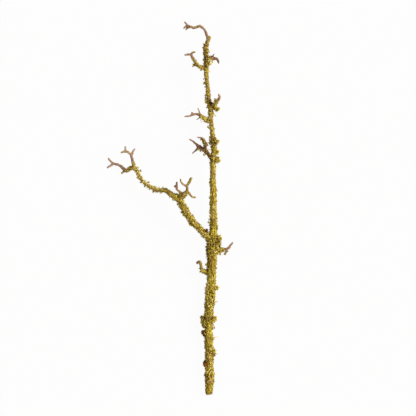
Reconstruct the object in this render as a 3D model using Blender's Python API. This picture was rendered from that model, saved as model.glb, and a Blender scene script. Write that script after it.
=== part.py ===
"""A dead twig crusted with olive yellow lichen, lying on its lichen collar and its lowest tips.

Frame: metres, +Z up. The twig runs along +Y, butt first, and rests on z = 0. The origin is the middle
of the outline on that surface. Every length of twig is a solid as thick as the wood and its crust of
lichen together. Thick cushions of lichen that stand off the bark are solids of their own.

Each route below is a list of points along the middle of a length of twig, chosen by hand:
(x, y, z, radius) in millimetres. A smooth curve through them gives the solid its rings.
"""

import math

import bmesh
import bpy
from mathutils import Matrix, Vector

MM = 0.001

# Driving dimensions, in metres
GAP = 0.3 * MM
STEM_FORKS = (212 * MM, 321 * MM, 445 * MM, 472 * MM)
SIDE_FORKS = (72 * MM, 145 * MM)
STEM_RING_SPACING = 6.5 * MM
BRANCH_RING_SPACING = 5.0 * MM
SPUR_RING_SPACING = 3.8 * MM
STEM_SIDES = 12
BRANCH_SIDES = 10
SPUR_SIDES = 8
PRONG_SIDES = 6
CURVE_STEPS = 12
FINE_SPACING = 0.5 * MM
SHARP_ANGLE = math.radians(50)

# A rounded tip: how far past the last ring each smaller ring stands and how wide it is, and how far the
# very tip stands, as shares of the last ring's radius
TIP_RINGS = ((0.55, 0.8), (0.9, 0.42))
TIP_REACH = 1.02

# Colours of the pieces, as sRGB hex
CRUSTED_BARK = "9c8440"
THIN_CRUST = "a0895a"
BARE_BARK = "8f705c"
LICHEN = "b49c4a"
BUD_BROWN = "7a4f33"
DRY_ROUGHNESS = 0.9

# The stem, from the cut butt up to the hooked leader
STEM = [
    (52.5, -250.5, 5.8, 5.0), (52.7, -243.0, 6.0, 5.3), (52.9, -228.0, 6.3, 6.1), (52.7, -218.5, 6.5, 5.6),
    (52.6, -191.5, 7.3, 5.5), (51.6, -167.0, 8.1, 5.4), (52.4, -140.0, 8.9, 5.8), (54.0, -118.5, 9.7, 6.4),
    (55.9, -97.0, 10.5, 5.8), (56.2, -72.5, 11.3, 6.2), (57.0, -56.5, 11.9, 6.2), (57.2, -40.5, 12.5, 6.1),
    (58.7, -24.0, 13.2, 4.8), (58.2, 0.0, 14.1, 4.8), (58.2, 24.0, 15.0, 4.4), (57.4, 48.5, 16.1, 3.7),
    (58.1, 67.0, 17.0, 3.9), (59.2, 79.0, 17.5, 3.9), (58.0, 92.5, 18.0, 3.8), (56.3, 105.9, 18.6, 3.0),
    (55.0, 119.5, 19.1, 3.3), (54.1, 134.0, 19.8, 3.7), (51.9, 147.5, 20.3, 3.2), (50.6, 163.5, 20.8, 2.9),
    (49.1, 176.9, 21.2, 3.1), (48.8, 189.0, 21.5, 3.6), (48.7, 202.5, 21.9, 3.7), (48.1, 214.1, 22.3, 3.7),
    (50.0, 221.5, 22.6, 2.6), (50.5, 227.0, 23.0, 2.0), (49.2, 231.6, 23.8, 1.9), (47.6, 236.7, 24.6, 1.8),
    (44.5, 240.5, 25.2, 1.7), (40.4, 243.3, 25.4, 1.8), (36.9, 242.3, 25.0, 1.7), (32.5, 241.1, 24.2, 1.8),
    (28.7, 242.5, 23.2, 1.7), (24.4, 244.0, 22.0, 1.6), (22.0, 246.9, 21.5, 1.4), (19.2, 249.5, 21.5, 1.2),
]
STEM_STUB = [(50.3, 221.0, 22.6, 2.6), (52.1, 226.4, 22.9, 2.6), (53.8, 230.6, 23.2, 2.0)]
LEADER_LOW_PRONG = [(27.2, 242.7, 22.8, 1.5), (23.5, 241.3, 20.5, 1.4), (21.0, 238.5, 19.5, 1.1)]
LEADER_MID_PRONG = [(25.1, 243.8, 22.2, 1.4), (21.0, 243.2, 20.5, 1.1), (18.1, 240.2, 19.5, 0.9)]

# The long side branch, from the main fork to the tip of its left twiglet
SIDE_BRANCH = [
    (56.7, -44.0, 12.4, 4.6), (51.2, -38.6, 13.5, 4.6), (45.6, -33.4, 15.0, 4.6), (37.6, -26.0, 18.0, 4.6),
    (30.9, -18.8, 20.5, 4.7), (24.3, -9.7, 23.0, 4.8), (19.3, -1.1, 25.0, 4.4), (14.9, 7.7, 26.5, 4.4),
    (10.4, 13.4, 27.5, 4.0), (3.5, 17.2, 28.0, 3.8), (-2.3, 21.6, 27.5, 3.7), (-7.9, 23.9, 26.5, 3.4),
    (-13.1, 23.7, 25.0, 3.1), (-18.5, 24.5, 23.0, 3.0), (-24.5, 27.1, 21.0, 3.1), (-31.4, 31.6, 18.5, 3.2),
    (-37.5, 37.0, 16.0, 3.0), (-41.9, 43.1, 14.0, 3.1), (-44.7, 49.5, 12.5, 3.0), (-49.3, 54.2, 11.5, 3.1),
    (-53.9, 52.9, 10.3, 3.0), (-58.5, 50.6, 8.5, 2.7), (-61.6, 51.7, 7.3, 2.4), (-64.8, 55.1, 6.0, 2.1),
    (-70.3, 58.5, 4.5, 1.8), (-77.3, 60.4, 2.8, 1.7), (-80.8, 63.8, 2.2, 1.5), (-84.2, 67.6, 1.6, 1.2),
]
LEFT_TIP_PRONG = [(-76.0, 60.1, 3.0, 1.6), (-81.2, 57.0, 1.9, 1.5), (-85.7, 54.1, 1.4, 1.2)]
LEFT_TIP_STUB = [(-60.6, 51.0, 7.6, 1.7), (-63.5, 48.4, 6.9, 1.5), (-66.1, 46.1, 6.4, 1.2)]
TIP_UP = [
    (-48.3, 52.5, 11.7, 2.5), (-49.3, 58.9, 14.0, 2.4), (-50.6, 64.6, 18.0, 1.9), (-51.7, 70.5, 21.5, 1.8),
    (-55.1, 74.1, 23.5, 1.7), (-59.7, 75.6, 25.0, 1.7), (-65.9, 73.9, 26.5, 1.2),
]
TIP_UP_RIGHT_PRONG = [(-51.3, 69.4, 21.0, 1.6), (-49.9, 74.9, 23.0, 1.4), (-46.2, 79.8, 24.0, 1.1)]
TIP_UP_MID_PRONG = [(-58.6, 75.7, 24.7, 1.4), (-59.4, 78.9, 26.3, 1.2), (-59.6, 82.8, 28.0, 1.0)]

# Spurs along the side branch and the stem
ANTLER = [
    (13.6, 9.9, 26.0, 3.3), (15.8, 14.3, 28.6, 3.2), (19.1, 19.2, 32.0, 2.8), (22.8, 21.4, 34.0, 2.4),
    (23.3, 25.4, 37.0, 1.9), (23.6, 29.7, 39.0, 1.9), (25.9, 34.1, 40.5, 1.8), (28.8, 39.9, 42.0, 2.0),
]
ANTLER_LEFT_PRONG = [
    (18.5, 18.4, 31.5, 2.4), (13.5, 21.3, 34.0, 1.9), (9.6, 25.0, 35.5, 1.7), (8.1, 29.1, 36.5, 2.0),
    (9.4, 35.1, 38.0, 1.5),
]
ANTLER_MID_PRONG = [
    (23.2, 29.0, 38.7, 1.6), (19.3, 30.6, 40.0, 1.5), (15.7, 33.8, 41.5, 1.4), (14.3, 39.0, 42.5, 1.1),
]
ANTLER_LOW_PRONG = [
    (21.5, 21.1, 33.6, 2.0), (25.2, 20.1, 34.0, 1.8), (27.7, 16.9, 33.0, 1.6), (30.7, 14.5, 32.0, 1.4),
    (34.9, 14.4, 31.5, 1.2),
]
CROTCH_BUD = [(50.8, -36.0, 14.5, 2.0), (49.8, -31.4, 18.2, 1.9), (49.4, -28.3, 21.5, 1.5)]
HOOK = [
    (55.4, -90.3, 9.6, 3.0), (50.1, -87.8, 10.2, 3.1), (46.9, -85.8, 11.0, 3.3), (43.5, -84.1, 12.2, 3.1),
    (41.7, -80.4, 13.7, 2.4), (41.2, -76.2, 15.5, 2.5), (40.6, -72.5, 17.0, 2.1), (38.6, -71.9, 17.8, 1.8),
    (35.6, -74.9, 18.0, 1.5),
]
RIGHT = [
    (58.6, -61.1, 12.2, 2.9), (63.5, -57.1, 10.6, 2.8), (68.6, -55.0, 8.5, 2.7), (74.1, -55.9, 6.0, 2.1),
    (78.6, -54.1, 4.0, 1.8), (80.9, -51.2, 2.9, 1.7), (85.1, -46.1, 1.5, 1.4),
]
FORKED = [
    (58.6, 63.9, 17.0, 2.9), (54.8, 68.5, 17.5, 2.8), (51.3, 72.3, 18.5, 2.6), (48.2, 75.7, 19.5, 2.9),
    (46.2, 78.1, 20.0, 2.7), (41.9, 80.1, 20.5, 2.4), (37.5, 83.6, 21.5, 2.1), (32.1, 88.4, 23.0, 1.7),
    (25.9, 92.3, 24.5, 1.1),
]
FORKED_LOW_PRONG = [(39.3, 82.6, 21.0, 1.8), (35.9, 78.5, 19.0, 1.6), (29.8, 73.2, 15.5, 1.0)]
FORKED_UP_PRONG = [
    (48.4, 76.4, 19.6, 2.4), (47.3, 81.1, 23.0, 2.3), (47.6, 85.6, 26.0, 2.3), (46.4, 89.4, 29.0, 2.3),
    (43.7, 92.3, 31.0, 1.9), (40.7, 93.7, 32.0, 1.2), (36.1, 94.5, 32.5, 0.9),
]
LEFT = [
    (55.6, 113.5, 18.9, 2.8), (50.7, 117.2, 19.5, 2.8), (46.8, 119.7, 20.5, 3.0), (43.0, 122.4, 21.5, 2.7),
    (39.6, 124.9, 22.5, 2.3), (35.1, 125.6, 23.2, 1.8), (31.0, 125.1, 24.0, 1.7), (26.2, 123.1, 24.5, 1.5),
    (19.2, 122.5, 25.0, 1.0),
]
LEFT_UP_PRONG = [(40.1, 125.1, 22.4, 1.5), (39.4, 129.1, 24.5, 1.2), (37.3, 133.7, 26.5, 0.9)]
LEFT_LOW_PRONG = [(41.2, 124.3, 22.2, 1.5), (39.3, 120.9, 20.5, 1.2), (35.5, 118.5, 19.0, 0.9)]
UPPER_RIGHT = [
    (54.3, 132.0, 19.8, 2.9), (59.0, 135.9, 21.5, 2.9), (61.2, 140.4, 24.0, 2.8), (63.7, 143.6, 26.0, 2.5),
    (65.7, 145.7, 27.5, 1.9), (66.5, 148.1, 29.0, 1.6), (65.2, 152.5, 31.0, 1.1),
]
UPPER_RIGHT_STUB = [(62.0, 141.8, 25.0, 1.8), (61.2, 144.5, 27.0, 1.5), (59.7, 146.9, 28.0, 1.1)]
TOP_LEFT = [
    (50.3, 186.3, 21.2, 2.8), (45.0, 187.8, 21.8, 2.7), (41.7, 188.6, 22.2, 2.5), (37.9, 190.5, 23.0, 2.6),
    (35.2, 193.9, 24.0, 2.3), (31.8, 198.6, 26.0, 2.1), (29.8, 202.0, 27.5, 1.7), (28.1, 205.2, 28.5, 1.6),
    (24.1, 204.9, 29.0, 1.4), (19.4, 204.3, 29.2, 1.1),
]
TOP_LEFT_UP_PRONG = [(28.4, 204.1, 28.2, 1.4), (30.3, 207.2, 29.5, 1.4), (34.3, 208.3, 30.5, 1.1)]
TOP_LEFT_LOW_PRONG = [(35.8, 192.8, 23.6, 1.7), (32.8, 191.4, 23.0, 1.6), (29.9, 189.0, 22.0, 0.9)]
TOP_RIGHT = [
    (48.1, 196.2, 21.6, 2.6), (52.4, 200.3, 20.0, 2.6), (55.8, 202.3, 17.5, 2.3), (59.3, 201.2, 13.5, 2.0),
    (62.9, 200.8, 9.5, 1.9), (64.8, 198.5, 5.0, 1.7), (65.6, 195.2, 1.3, 1.1),
]
TOP_RIGHT_PRONG = [(56.7, 202.0, 16.8, 1.5), (57.8, 203.9, 19.0, 1.2), (59.5, 206.7, 21.0, 0.9)]

# Cushions of lichen and the bud: middle and half sizes, in millimetres
COLLAR = ((51.6, -149.4, 8.4), (10.8, 8.8, 9.6))
LOW_LEFT = ((47.2, -168.0, 8.6), (4.6, 5.2, 4.0))
LOW_RIGHT = ((58.0, -195.5, 8.4), (4.2, 5.6, 4.0))
MID_RIGHT = ((61.2, -106.8, 11.0), (4.6, 5.2, 4.4))
FORK_MASS = ((64.2, -43.6, 14.6), (4.6, 9.4, 4.6))
FORK_RIGHT = ((61.9, 64.5, 18.2), (5.0, 4.6, 4.2))
UPPER = ((58.9, 88.2, 21.0), (7.0, 4.6, 5.2))
SPUR_RIGHT = ((61.2, 132.8, 22.0), (5.4, 4.4, 4.2))
TOP_FORK = ((50.4, 194.8, 23.4), (5.0, 5.4, 3.6))
BROWN_BUD = ((47.4, -209.9, 8.0), (3.4, 5.0, 3.2))
CUSHION_LUMP = 0.045
CUSHION_WAVES = 10.0
CUSHION_PHASES = (1.0, 2.0, 3.0)
BUD_LUMP = 0.0


def clear_scene():
    """Remove every object, so that the model starts empty."""
    for old in list(bpy.data.objects):
        bpy.data.objects.remove(old, do_unlink=True)


def linear(hex_colour):
    """The sRGB hex colour as linear red, green, blue and alpha."""
    channels = [int(hex_colour[i:i + 2], 16) / 255 for i in (0, 2, 4)]
    return tuple(c / 12.92 if c <= 0.04045 else ((c + 0.055) / 1.055) ** 2.4 for c in channels) + (1.0,)


def give_material(piece, hex_colour):
    """Give the piece its own dry, matt material."""
    material = bpy.data.materials.new(piece.name)
    material.use_nodes = True
    surface = material.node_tree.nodes["Principled BSDF"]
    surface.inputs["Base Color"].default_value = linear(hex_colour)
    surface.inputs["Roughness"].default_value = DRY_ROUGHNESS
    surface.inputs["Metallic"].default_value = 0.0
    piece.data.materials.append(material)


def smooth_route(route, spacing):
    """Evenly spaced (middle, radius) stations on a smooth curve through the route's points."""
    points = [Vector(p) * MM for p in route]
    points = [points[0] * 2 - points[1]] + points + [points[-1] * 2 - points[-2]]
    curve = []
    for before, start, end, after in zip(points, points[1:], points[2:], points[3:]):
        bend = 2 * before - 5 * start + 4 * end - after
        twist = 3 * start - before - 3 * end + after
        for step in range(CURVE_STEPS):
            t = step / CURVE_STEPS
            curve.append(0.5 * (2 * start + (end - before) * t + bend * t ** 2 + twist * t ** 3))
    curve.append(points[-2])
    travelled = route_length(curve)
    return stations_at(curve, travelled, even_steps(0.0, travelled[-1], spacing))


def route_length(stations):
    """Distance travelled up to each station."""
    travelled = [0.0]
    for start, end in zip(stations, stations[1:]):
        travelled.append(travelled[-1] + (end.xyz - start.xyz).length)
    return travelled


def even_steps(first, last, spacing):
    """Distances from first to last, about spacing apart."""
    count = max(2, round((last - first) / spacing))
    return [first + (last - first) * i / count for i in range(count + 1)]


def stations_at(curve, travelled, goals):
    """The stations at the given distances along the curve."""
    stations = []
    for goal in goals:
        k = next((j for j in range(1, len(travelled) - 1) if travelled[j] >= goal), len(travelled) - 1)
        share = (goal - travelled[k - 1]) / (travelled[k] - travelled[k - 1])
        stations.append(curve[k - 1].lerp(curve[k], share))
    return stations


def stretch(curve, first, last, spacing):
    """The stations of one length of a route, half a gap short where another length meets it.

    A second station close to each cut end squares the end to the curve.
    """
    travelled = route_length(curve)
    start = first + GAP / 2 if first else 0.0
    end = last - GAP / 2 if last else travelled[-1]
    goals = even_steps(start, end, spacing)
    if first:
        goals.insert(1, start + GAP)
    if last:
        goals.insert(-1, end - GAP)
    return stations_at(curve, travelled, goals)


def ring_frames(stations):
    """Two unit directions across the route at each station, carried along without twisting."""
    middles = [station.xyz for station in stations]
    ahead = [(b - a).normalized() for a, b in zip(middles, middles[1:])]
    tangents = [ahead[0]] + [(a + b).normalized() for a, b in zip(ahead, ahead[1:])] + [ahead[-1]]
    across = tangents[0].orthogonal().normalized()
    frames = []
    for tangent in tangents:
        across = (across - tangent * across.dot(tangent)).normalized()
        frames.append((across, tangent.cross(across), tangent))
    return frames


def round_end(station, outward):
    """Shrinking stations and a pole past an end, for a rounded tip; outward is the unit way out."""
    rings = []
    for reach, width in TIP_RINGS:
        ring = station.copy()
        ring.xyz += outward * station.w * reach
        ring.w *= width
        rings.append(ring)
    return rings, station.xyz + outward * station.w * TIP_REACH


def tube_mesh(name, stations, sides, swell=0.0, round_start=False, round_finish=True):
    """A closed mesh with a ring of corners around each station, swollen all over by a margin."""
    grown = [station.copy() for station in stations]
    frames = ring_frames(grown)
    for station in grown:
        station.w += swell
    start_pole, end_pole = None, None
    if round_finish:
        extra, end_pole = round_end(grown[-1], frames[-1][2])
        grown += extra
        frames += [frames[-1]] * len(extra)
    else:
        grown[-1].xyz += frames[-1][2] * swell
    if round_start:
        extra, start_pole = round_end(grown[0], -frames[0][2])
        grown = extra[::-1] + grown
        frames = [frames[0]] * len(extra) + frames
    else:
        grown[0].xyz -= frames[0][2] * swell
    body = bmesh.new()
    turns = [2 * math.pi * k / sides for k in range(sides)]
    rings = []
    for station, (across, up, _) in zip(grown, frames):
        spokes = [across * math.cos(turn) + up * math.sin(turn) for turn in turns]
        rings.append([body.verts.new(station.xyz + spoke * station.w) for spoke in spokes])
    for lower, upper in zip(rings, rings[1:]):
        for k in range(sides):
            following = (k + 1) % sides
            body.faces.new((lower[k], lower[following], upper[following], upper[k]))
    close_end(body, rings[0][::-1], start_pole)
    close_end(body, rings[-1], end_pole)
    bmesh.ops.triangulate(body, faces=body.faces[:])
    mesh = bpy.data.meshes.new(name)
    body.to_mesh(mesh)
    body.free()
    return mesh


def close_end(body, ring, pole):
    """Close a tube's end with one flat face, or with a fan to its pole."""
    if pole is None:
        body.faces.new(ring)
        return
    tip = body.verts.new(pole)
    for k, corner in enumerate(ring):
        body.faces.new((corner, ring[(k + 1) % len(ring)], tip))


def add_piece(name, mesh, hex_colour):
    """A named piece of the twig, held by the twig's empty."""
    piece = bpy.data.objects.new(name, mesh)
    bpy.context.collection.objects.link(piece)
    piece.parent = TWIG
    piece.data.shade_smooth()
    piece.data.set_sharp_from_angle(angle=SHARP_ANGLE)
    give_material(piece, hex_colour)
    return piece


def add_helper(name, mesh):
    """A hidden shape that only cuts or joins."""
    helper = bpy.data.objects.new(name, mesh)
    bpy.context.collection.objects.link(helper)
    helper.parent = TWIG
    helper.hide_render = True
    helper.display_type = "WIRE"
    return helper


def combine(piece, helper, operation):
    """Join the helper to the piece, or cut it away from the piece."""
    step = piece.modifiers.new(operation.lower(), "BOOLEAN")
    step.operation = operation
    step.solver = "EXACT"
    step.object = helper


def add_spur(name, route, hex_colour, prongs=(), clear_of=()):
    """A spur with its prongs grown on, cut back from the lengths that it springs from."""
    piece = add_piece(name, tube_mesh(name, smooth_route(route, SPUR_RING_SPACING), SPUR_SIDES), hex_colour)
    grow_on(name, prongs)
    for parent in clear_of:
        combine(piece, parent, "DIFFERENCE")


def room_for(name, stations, sides, round_start=False, round_finish=True):
    """A hidden copy of a length of twig, swollen by the gap, to cut its neighbours with."""
    mesh = tube_mesh("room", stations, sides, GAP, round_start, round_finish)
    return add_helper(f"room_for_{name}", mesh)


def add_lengths(lengths, route, spacing, marks):
    """Lengths of one branch that meet face to face at the marks; gives back a room for each."""
    stations = smooth_route(route, FINE_SPACING)
    bounds = (0.0,) + marks + (None,)
    rooms = {}
    for (name, colour, sides), first, last in zip(lengths, bounds, bounds[1:]):
        part = stretch(stations, first, last, spacing if last else SPUR_RING_SPACING)
        add_piece(name, tube_mesh(name, part, sides, round_finish=last is None), colour)
        rooms[name] = room_for(name, part, sides, first == 0.0, last is None)
    return rooms


def grow_on(piece_name, prongs, round_start=True):
    """Join side prongs to a piece."""
    for i, prong in enumerate(prongs):
        stations = smooth_route(prong, SPUR_RING_SPACING)
        shape = tube_mesh("prong", stations, PRONG_SIDES, round_start=round_start)
        combine(bpy.data.objects[piece_name], add_helper(f"{piece_name}_prong_{i}", shape), "UNION")


def lumpy_swell(direction, lump):
    """How far a cushion swells in a direction, as a share of its size: a soft wave along each axis."""
    waves = (math.sin(CUSHION_WAVES * way + phase) for way, phase in zip(direction, CUSHION_PHASES))
    return 1 + lump * sum(waves)


def add_cushion(name, place, hex_colour, clear_of, lump=CUSHION_LUMP, subdivisions=2, resting=False):
    """A lumpy cushion around a middle point, cut back from the twig that it grows on."""
    middle, half_size = place
    body = bmesh.new()
    bmesh.ops.create_icosphere(body, subdivisions=subdivisions, radius=1.0)
    for corner in body.verts:
        corner.co *= lumpy_swell(corner.co.copy(), lump)
    placing = Matrix.Translation(Vector(middle) * MM)
    body.transform(placing @ Matrix.Diagonal(Vector(half_size) * MM).to_4x4())
    if resting:
        flatten_underside(body)
    mesh = bpy.data.meshes.new(name)
    body.to_mesh(mesh)
    body.free()
    piece = add_piece(name, mesh, hex_colour)
    for parent in clear_of:
        combine(piece, parent, "DIFFERENCE")


def flatten_underside(body):
    """Cut the shape level where it rests, at z = 0, and close it with one flat face."""
    everything = body.verts[:] + body.edges[:] + body.faces[:]
    bmesh.ops.bisect_plane(body, geom=everything, plane_co=(0, 0, 0), plane_no=(0, 0, -1), clear_outer=True)
    rim = [edge for edge in body.edges if edge.is_boundary]
    bmesh.ops.contextual_create(body, geom=rim)
    bmesh.ops.triangulate(body, faces=body.faces[:])


def build_stem():
    """The stem in four lengths and the hooked leader, meeting face to face at the forks."""
    lengths = (
        ("stem_lower", CRUSTED_BARK, STEM_SIDES),
        ("stem_middle", CRUSTED_BARK, STEM_SIDES),
        ("stem_upper", CRUSTED_BARK, STEM_SIDES),
        ("stem_top", CRUSTED_BARK, STEM_SIDES),
        ("bent_leader", BARE_BARK, BRANCH_SIDES),
    )
    rooms = add_lengths(lengths, STEM, STEM_RING_SPACING, STEM_FORKS)
    grow_on("bent_leader", (STEM_STUB,), round_start=False)
    grow_on("bent_leader", (LEADER_LOW_PRONG, LEADER_MID_PRONG))
    return rooms


def build_side_branch(stem_rooms):
    """The side branch in two lengths, and the left twiglet that it ends in."""
    lengths = (
        ("side_branch_lower", CRUSTED_BARK, BRANCH_SIDES),
        ("side_branch_upper", THIN_CRUST, BRANCH_SIDES),
        ("branch_tip_left", BARE_BARK, BRANCH_SIDES),
    )
    rooms = add_lengths(lengths, SIDE_BRANCH, BRANCH_RING_SPACING, SIDE_FORKS)
    for name in ("stem_lower", "stem_middle"):
        combine(bpy.data.objects["side_branch_lower"], stem_rooms[name], "DIFFERENCE")
    grow_on("branch_tip_left", (LEFT_TIP_PRONG, LEFT_TIP_STUB))
    return rooms


def build_spurs(room):
    """Every spur and twiglet that springs from the stem or from the side branch."""
    fork = (room["stem_lower"], room["stem_middle"])
    middle = (room["stem_middle"], room["stem_upper"])
    upper = (room["stem_upper"],)
    top = (room["stem_upper"], room["stem_top"])
    elbow = (room["side_branch_lower"], room["side_branch_upper"])
    end = (room["side_branch_upper"], room["branch_tip_left"])
    add_spur("branch_tip_up", TIP_UP, BARE_BARK, (TIP_UP_RIGHT_PRONG, TIP_UP_MID_PRONG), end)
    antler_prongs = (ANTLER_LEFT_PRONG, ANTLER_MID_PRONG, ANTLER_LOW_PRONG)
    add_spur("antler_spur", ANTLER, BARE_BARK, antler_prongs, elbow)
    add_spur("crotch_bud", CROTCH_BUD, THIN_CRUST, (), fork + elbow[:1])
    add_spur("hook_spur", HOOK, THIN_CRUST, (), fork[:1])
    add_spur("right_spur", RIGHT, BARE_BARK, (), fork[:1])
    add_spur("forked_spur", FORKED, BARE_BARK, (FORKED_LOW_PRONG, FORKED_UP_PRONG), middle)
    add_spur("left_spur", LEFT, BARE_BARK, (LEFT_UP_PRONG, LEFT_LOW_PRONG), upper)
    add_spur("upper_right_spur", UPPER_RIGHT, THIN_CRUST, (UPPER_RIGHT_STUB,), upper)
    add_spur("top_left_spur", TOP_LEFT, THIN_CRUST, (TOP_LEFT_UP_PRONG, TOP_LEFT_LOW_PRONG), top)
    add_spur("top_right_spur", TOP_RIGHT, BARE_BARK, (TOP_RIGHT_PRONG,), top)


def build_cushions(room):
    """The brown bud and the cushions of lichen, each cut back from the twig under it."""
    for name, route in (("right_spur", RIGHT), ("forked_spur", FORKED), ("upper_right_spur", UPPER_RIGHT),
                        ("top_left_spur", TOP_LEFT), ("top_right_spur", TOP_RIGHT)):
        room[name] = room_for(name, smooth_route(route, SPUR_RING_SPACING), SPUR_SIDES)
    low = [room["stem_lower"]]
    upper = [room["stem_upper"]]
    add_cushion("brown_bud", BROWN_BUD, BUD_BROWN, low, BUD_LUMP)
    add_cushion("lichen_collar", COLLAR, LICHEN, low, subdivisions=3, resting=True)
    add_cushion("lichen_low_left", LOW_LEFT, LICHEN, low)
    add_cushion("lichen_low_right", LOW_RIGHT, LICHEN, low)
    add_cushion("lichen_mid_right", MID_RIGHT, LICHEN, low)
    add_cushion("lichen_fork_mass", FORK_MASS, LICHEN, low + [room["stem_middle"], room["right_spur"]])
    add_cushion("lichen_fork_right", FORK_RIGHT, LICHEN, upper + [room["stem_middle"], room["forked_spur"]])
    add_cushion("lichen_upper", UPPER, LICHEN, upper)
    add_cushion("lichen_spur_right", SPUR_RIGHT, LICHEN, upper + [room["upper_right_spur"]])
    add_cushion("lichen_top_fork", TOP_FORK, LICHEN,
                upper + [room["stem_top"], room["top_left_spur"], room["top_right_spur"]])


clear_scene()
TWIG = bpy.data.objects.new("twig", None)
bpy.context.collection.objects.link(TWIG)
rooms = build_stem()
rooms.update(build_side_branch(rooms))
build_spurs(rooms)
build_cushions(rooms)
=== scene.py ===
"""Looks of a dead twig grown over with olive yellow lichen, lying on a pale table.

The bark of each length of twig is a tube carried along a given route, with the relief of old bark.
Spurs and their prongs are tubes fused into one skin. Lichen grows on them in three forms, each a small
closed shape repeated thousands of times by whole-array sums: ruffled lobes, pointed branchlets and round
granules. Millimetres are used for sizes and turned to metres with MM.
"""

import logging
import math
from dataclasses import dataclass, field, fields
from enum import Enum, IntEnum

import bpy
import numpy as np
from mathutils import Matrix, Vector


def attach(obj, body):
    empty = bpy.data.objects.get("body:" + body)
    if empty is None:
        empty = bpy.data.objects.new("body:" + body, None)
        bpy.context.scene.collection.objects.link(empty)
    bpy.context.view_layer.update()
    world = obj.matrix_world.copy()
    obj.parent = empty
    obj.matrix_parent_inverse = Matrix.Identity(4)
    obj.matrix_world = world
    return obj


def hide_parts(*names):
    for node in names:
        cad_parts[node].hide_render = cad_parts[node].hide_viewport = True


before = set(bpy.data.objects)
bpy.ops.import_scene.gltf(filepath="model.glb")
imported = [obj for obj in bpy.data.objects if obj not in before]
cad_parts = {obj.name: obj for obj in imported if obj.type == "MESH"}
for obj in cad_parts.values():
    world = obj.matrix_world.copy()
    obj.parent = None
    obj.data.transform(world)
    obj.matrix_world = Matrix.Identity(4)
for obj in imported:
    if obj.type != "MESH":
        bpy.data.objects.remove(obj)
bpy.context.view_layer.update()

MM = 0.001
FULL_TURN = 2 * math.pi
BODY = "root"
Array = np.ndarray
Point = tuple[float, float, float, float, float, float]
Material, Node, Socket, Tree = bpy.types.Material, bpy.types.Node, bpy.types.NodeSocket, bpy.types.NodeTree

# Where the stem and the side branch are divided at their forks, in metres from their start
STEM_FORKS = (0.2131, 0.3221, 0.4461, 0.4731)
SIDE_FORKS = (0.072, 0.145)
# The lowest lichen's height over the table, and how closely its slight unevenness waves across and along
RESTING_HEIGHT = 0.12 * MM
RESTING_WAVES = (4000, 3700)
# Wood as thick as the first radius counts as not thin at all, and as thin as the second as wholly thin
STOUT, SLENDER = 4.2 * MM, 2.0 * MM
# No lichen is seated this near to a chosen gap, nor where a place is more than this share a gap
GAP_MARGIN, GAP_LIMIT = 0.5 * MM, 0.3
# Every this many of a route's fine rows is enough to find the nearest wood
COARSE = 4
# A direction that no lichen faces exactly, to take others square to it
ASKEW = (0.31, 0.17, 0.93)

# Routes: each row is x, y, z and the radius to the lichen's tips in millimetres, then how far crust covers
# the bark and how bushy the lichen on it is, both 0 to 1
STEM = (
    (53.0, -251.6, 5.8, 3.3, 1, 0.4), (52.8, -250.6, 5.8, 4.5, 1, 0.4), (52.6, -249.2, 5.8, 5.0, 1, 0.4),
    (52.7, -243.0, 6.0, 5.3, 1, 0.4), (52.9, -228.0, 6.3, 6.1, 0.7, 0.55),
    (52.7, -218.5, 6.5, 5.6, 1, 0.75), (52.6, -191.5, 7.3, 5.5, 1, 0.75), (51.6, -167.0, 8.1, 5.4, 1, 0.2),
    (52.4, -140.0, 8.9, 5.8, 1, 0.7), (54.0, -118.5, 9.7, 6.4, 1, 0.85), (55.9, -97.0, 10.5, 5.8, 1, 0.8),
    (56.2, -72.5, 11.3, 6.2, 1, 0.35), (57.0, -56.5, 11.9, 6.2, 1, 0.9), (57.2, -40.5, 12.5, 6.1, 1, 0.9),
    (58.7, -24.0, 13.2, 4.8, 1, 0.7), (58.2, 0.0, 14.1, 4.8, 1, 0.5), (58.2, 24.0, 15.0, 4.4, 1, 0.45),
    (57.4, 48.5, 16.1, 3.7, 1, 0.45), (58.1, 67.0, 17.0, 3.9, 1, 0.7), (59.2, 79.0, 17.5, 3.9, 0.9, 0.9),
    (58.0, 92.5, 18.0, 3.8, 0.8, 0.9), (56.3, 105.9, 18.6, 3.0, 1, 0.4), (55.0, 119.5, 19.1, 3.3, 0.9, 0.7),
    (54.1, 134.0, 19.8, 3.7, 0.55, 0.8), (51.9, 147.5, 20.3, 3.2, 0.9, 0.7),
    (50.6, 163.5, 20.8, 2.9, 1, 0.45), (49.1, 176.9, 21.2, 3.1, 0.9, 0.6),
    (48.8, 189.0, 21.5, 3.6, 0.5, 0.85), (48.7, 202.5, 21.9, 3.7, 0.35, 0.7),
    (48.1, 214.1, 22.3, 3.7, 0.5, 0.6), (50.0, 221.5, 22.6, 2.6, 0.28, 0.15),
    (50.5, 227.0, 23.0, 2.0, 0.15, 0.03), (49.2, 231.6, 23.8, 1.9, 0.1, 0),
    (47.6, 236.7, 24.6, 1.8, 0.15, 0), (44.5, 240.5, 25.2, 1.7, 0.35, 0), (40.4, 243.3, 25.4, 1.8, 0.45, 0),
    (36.9, 242.3, 25.0, 1.7, 0.42, 0), (32.5, 241.1, 24.2, 1.8, 0.3, 0), (28.7, 242.5, 23.2, 1.7, 0.45, 0),
    (24.4, 244.0, 22.0, 1.6, 0.4, 0), (22.0, 246.9, 21.5, 1.4, 0.2, 0), (19.2, 249.5, 21.5, 1.2, 0.1, 0),
)
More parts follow.
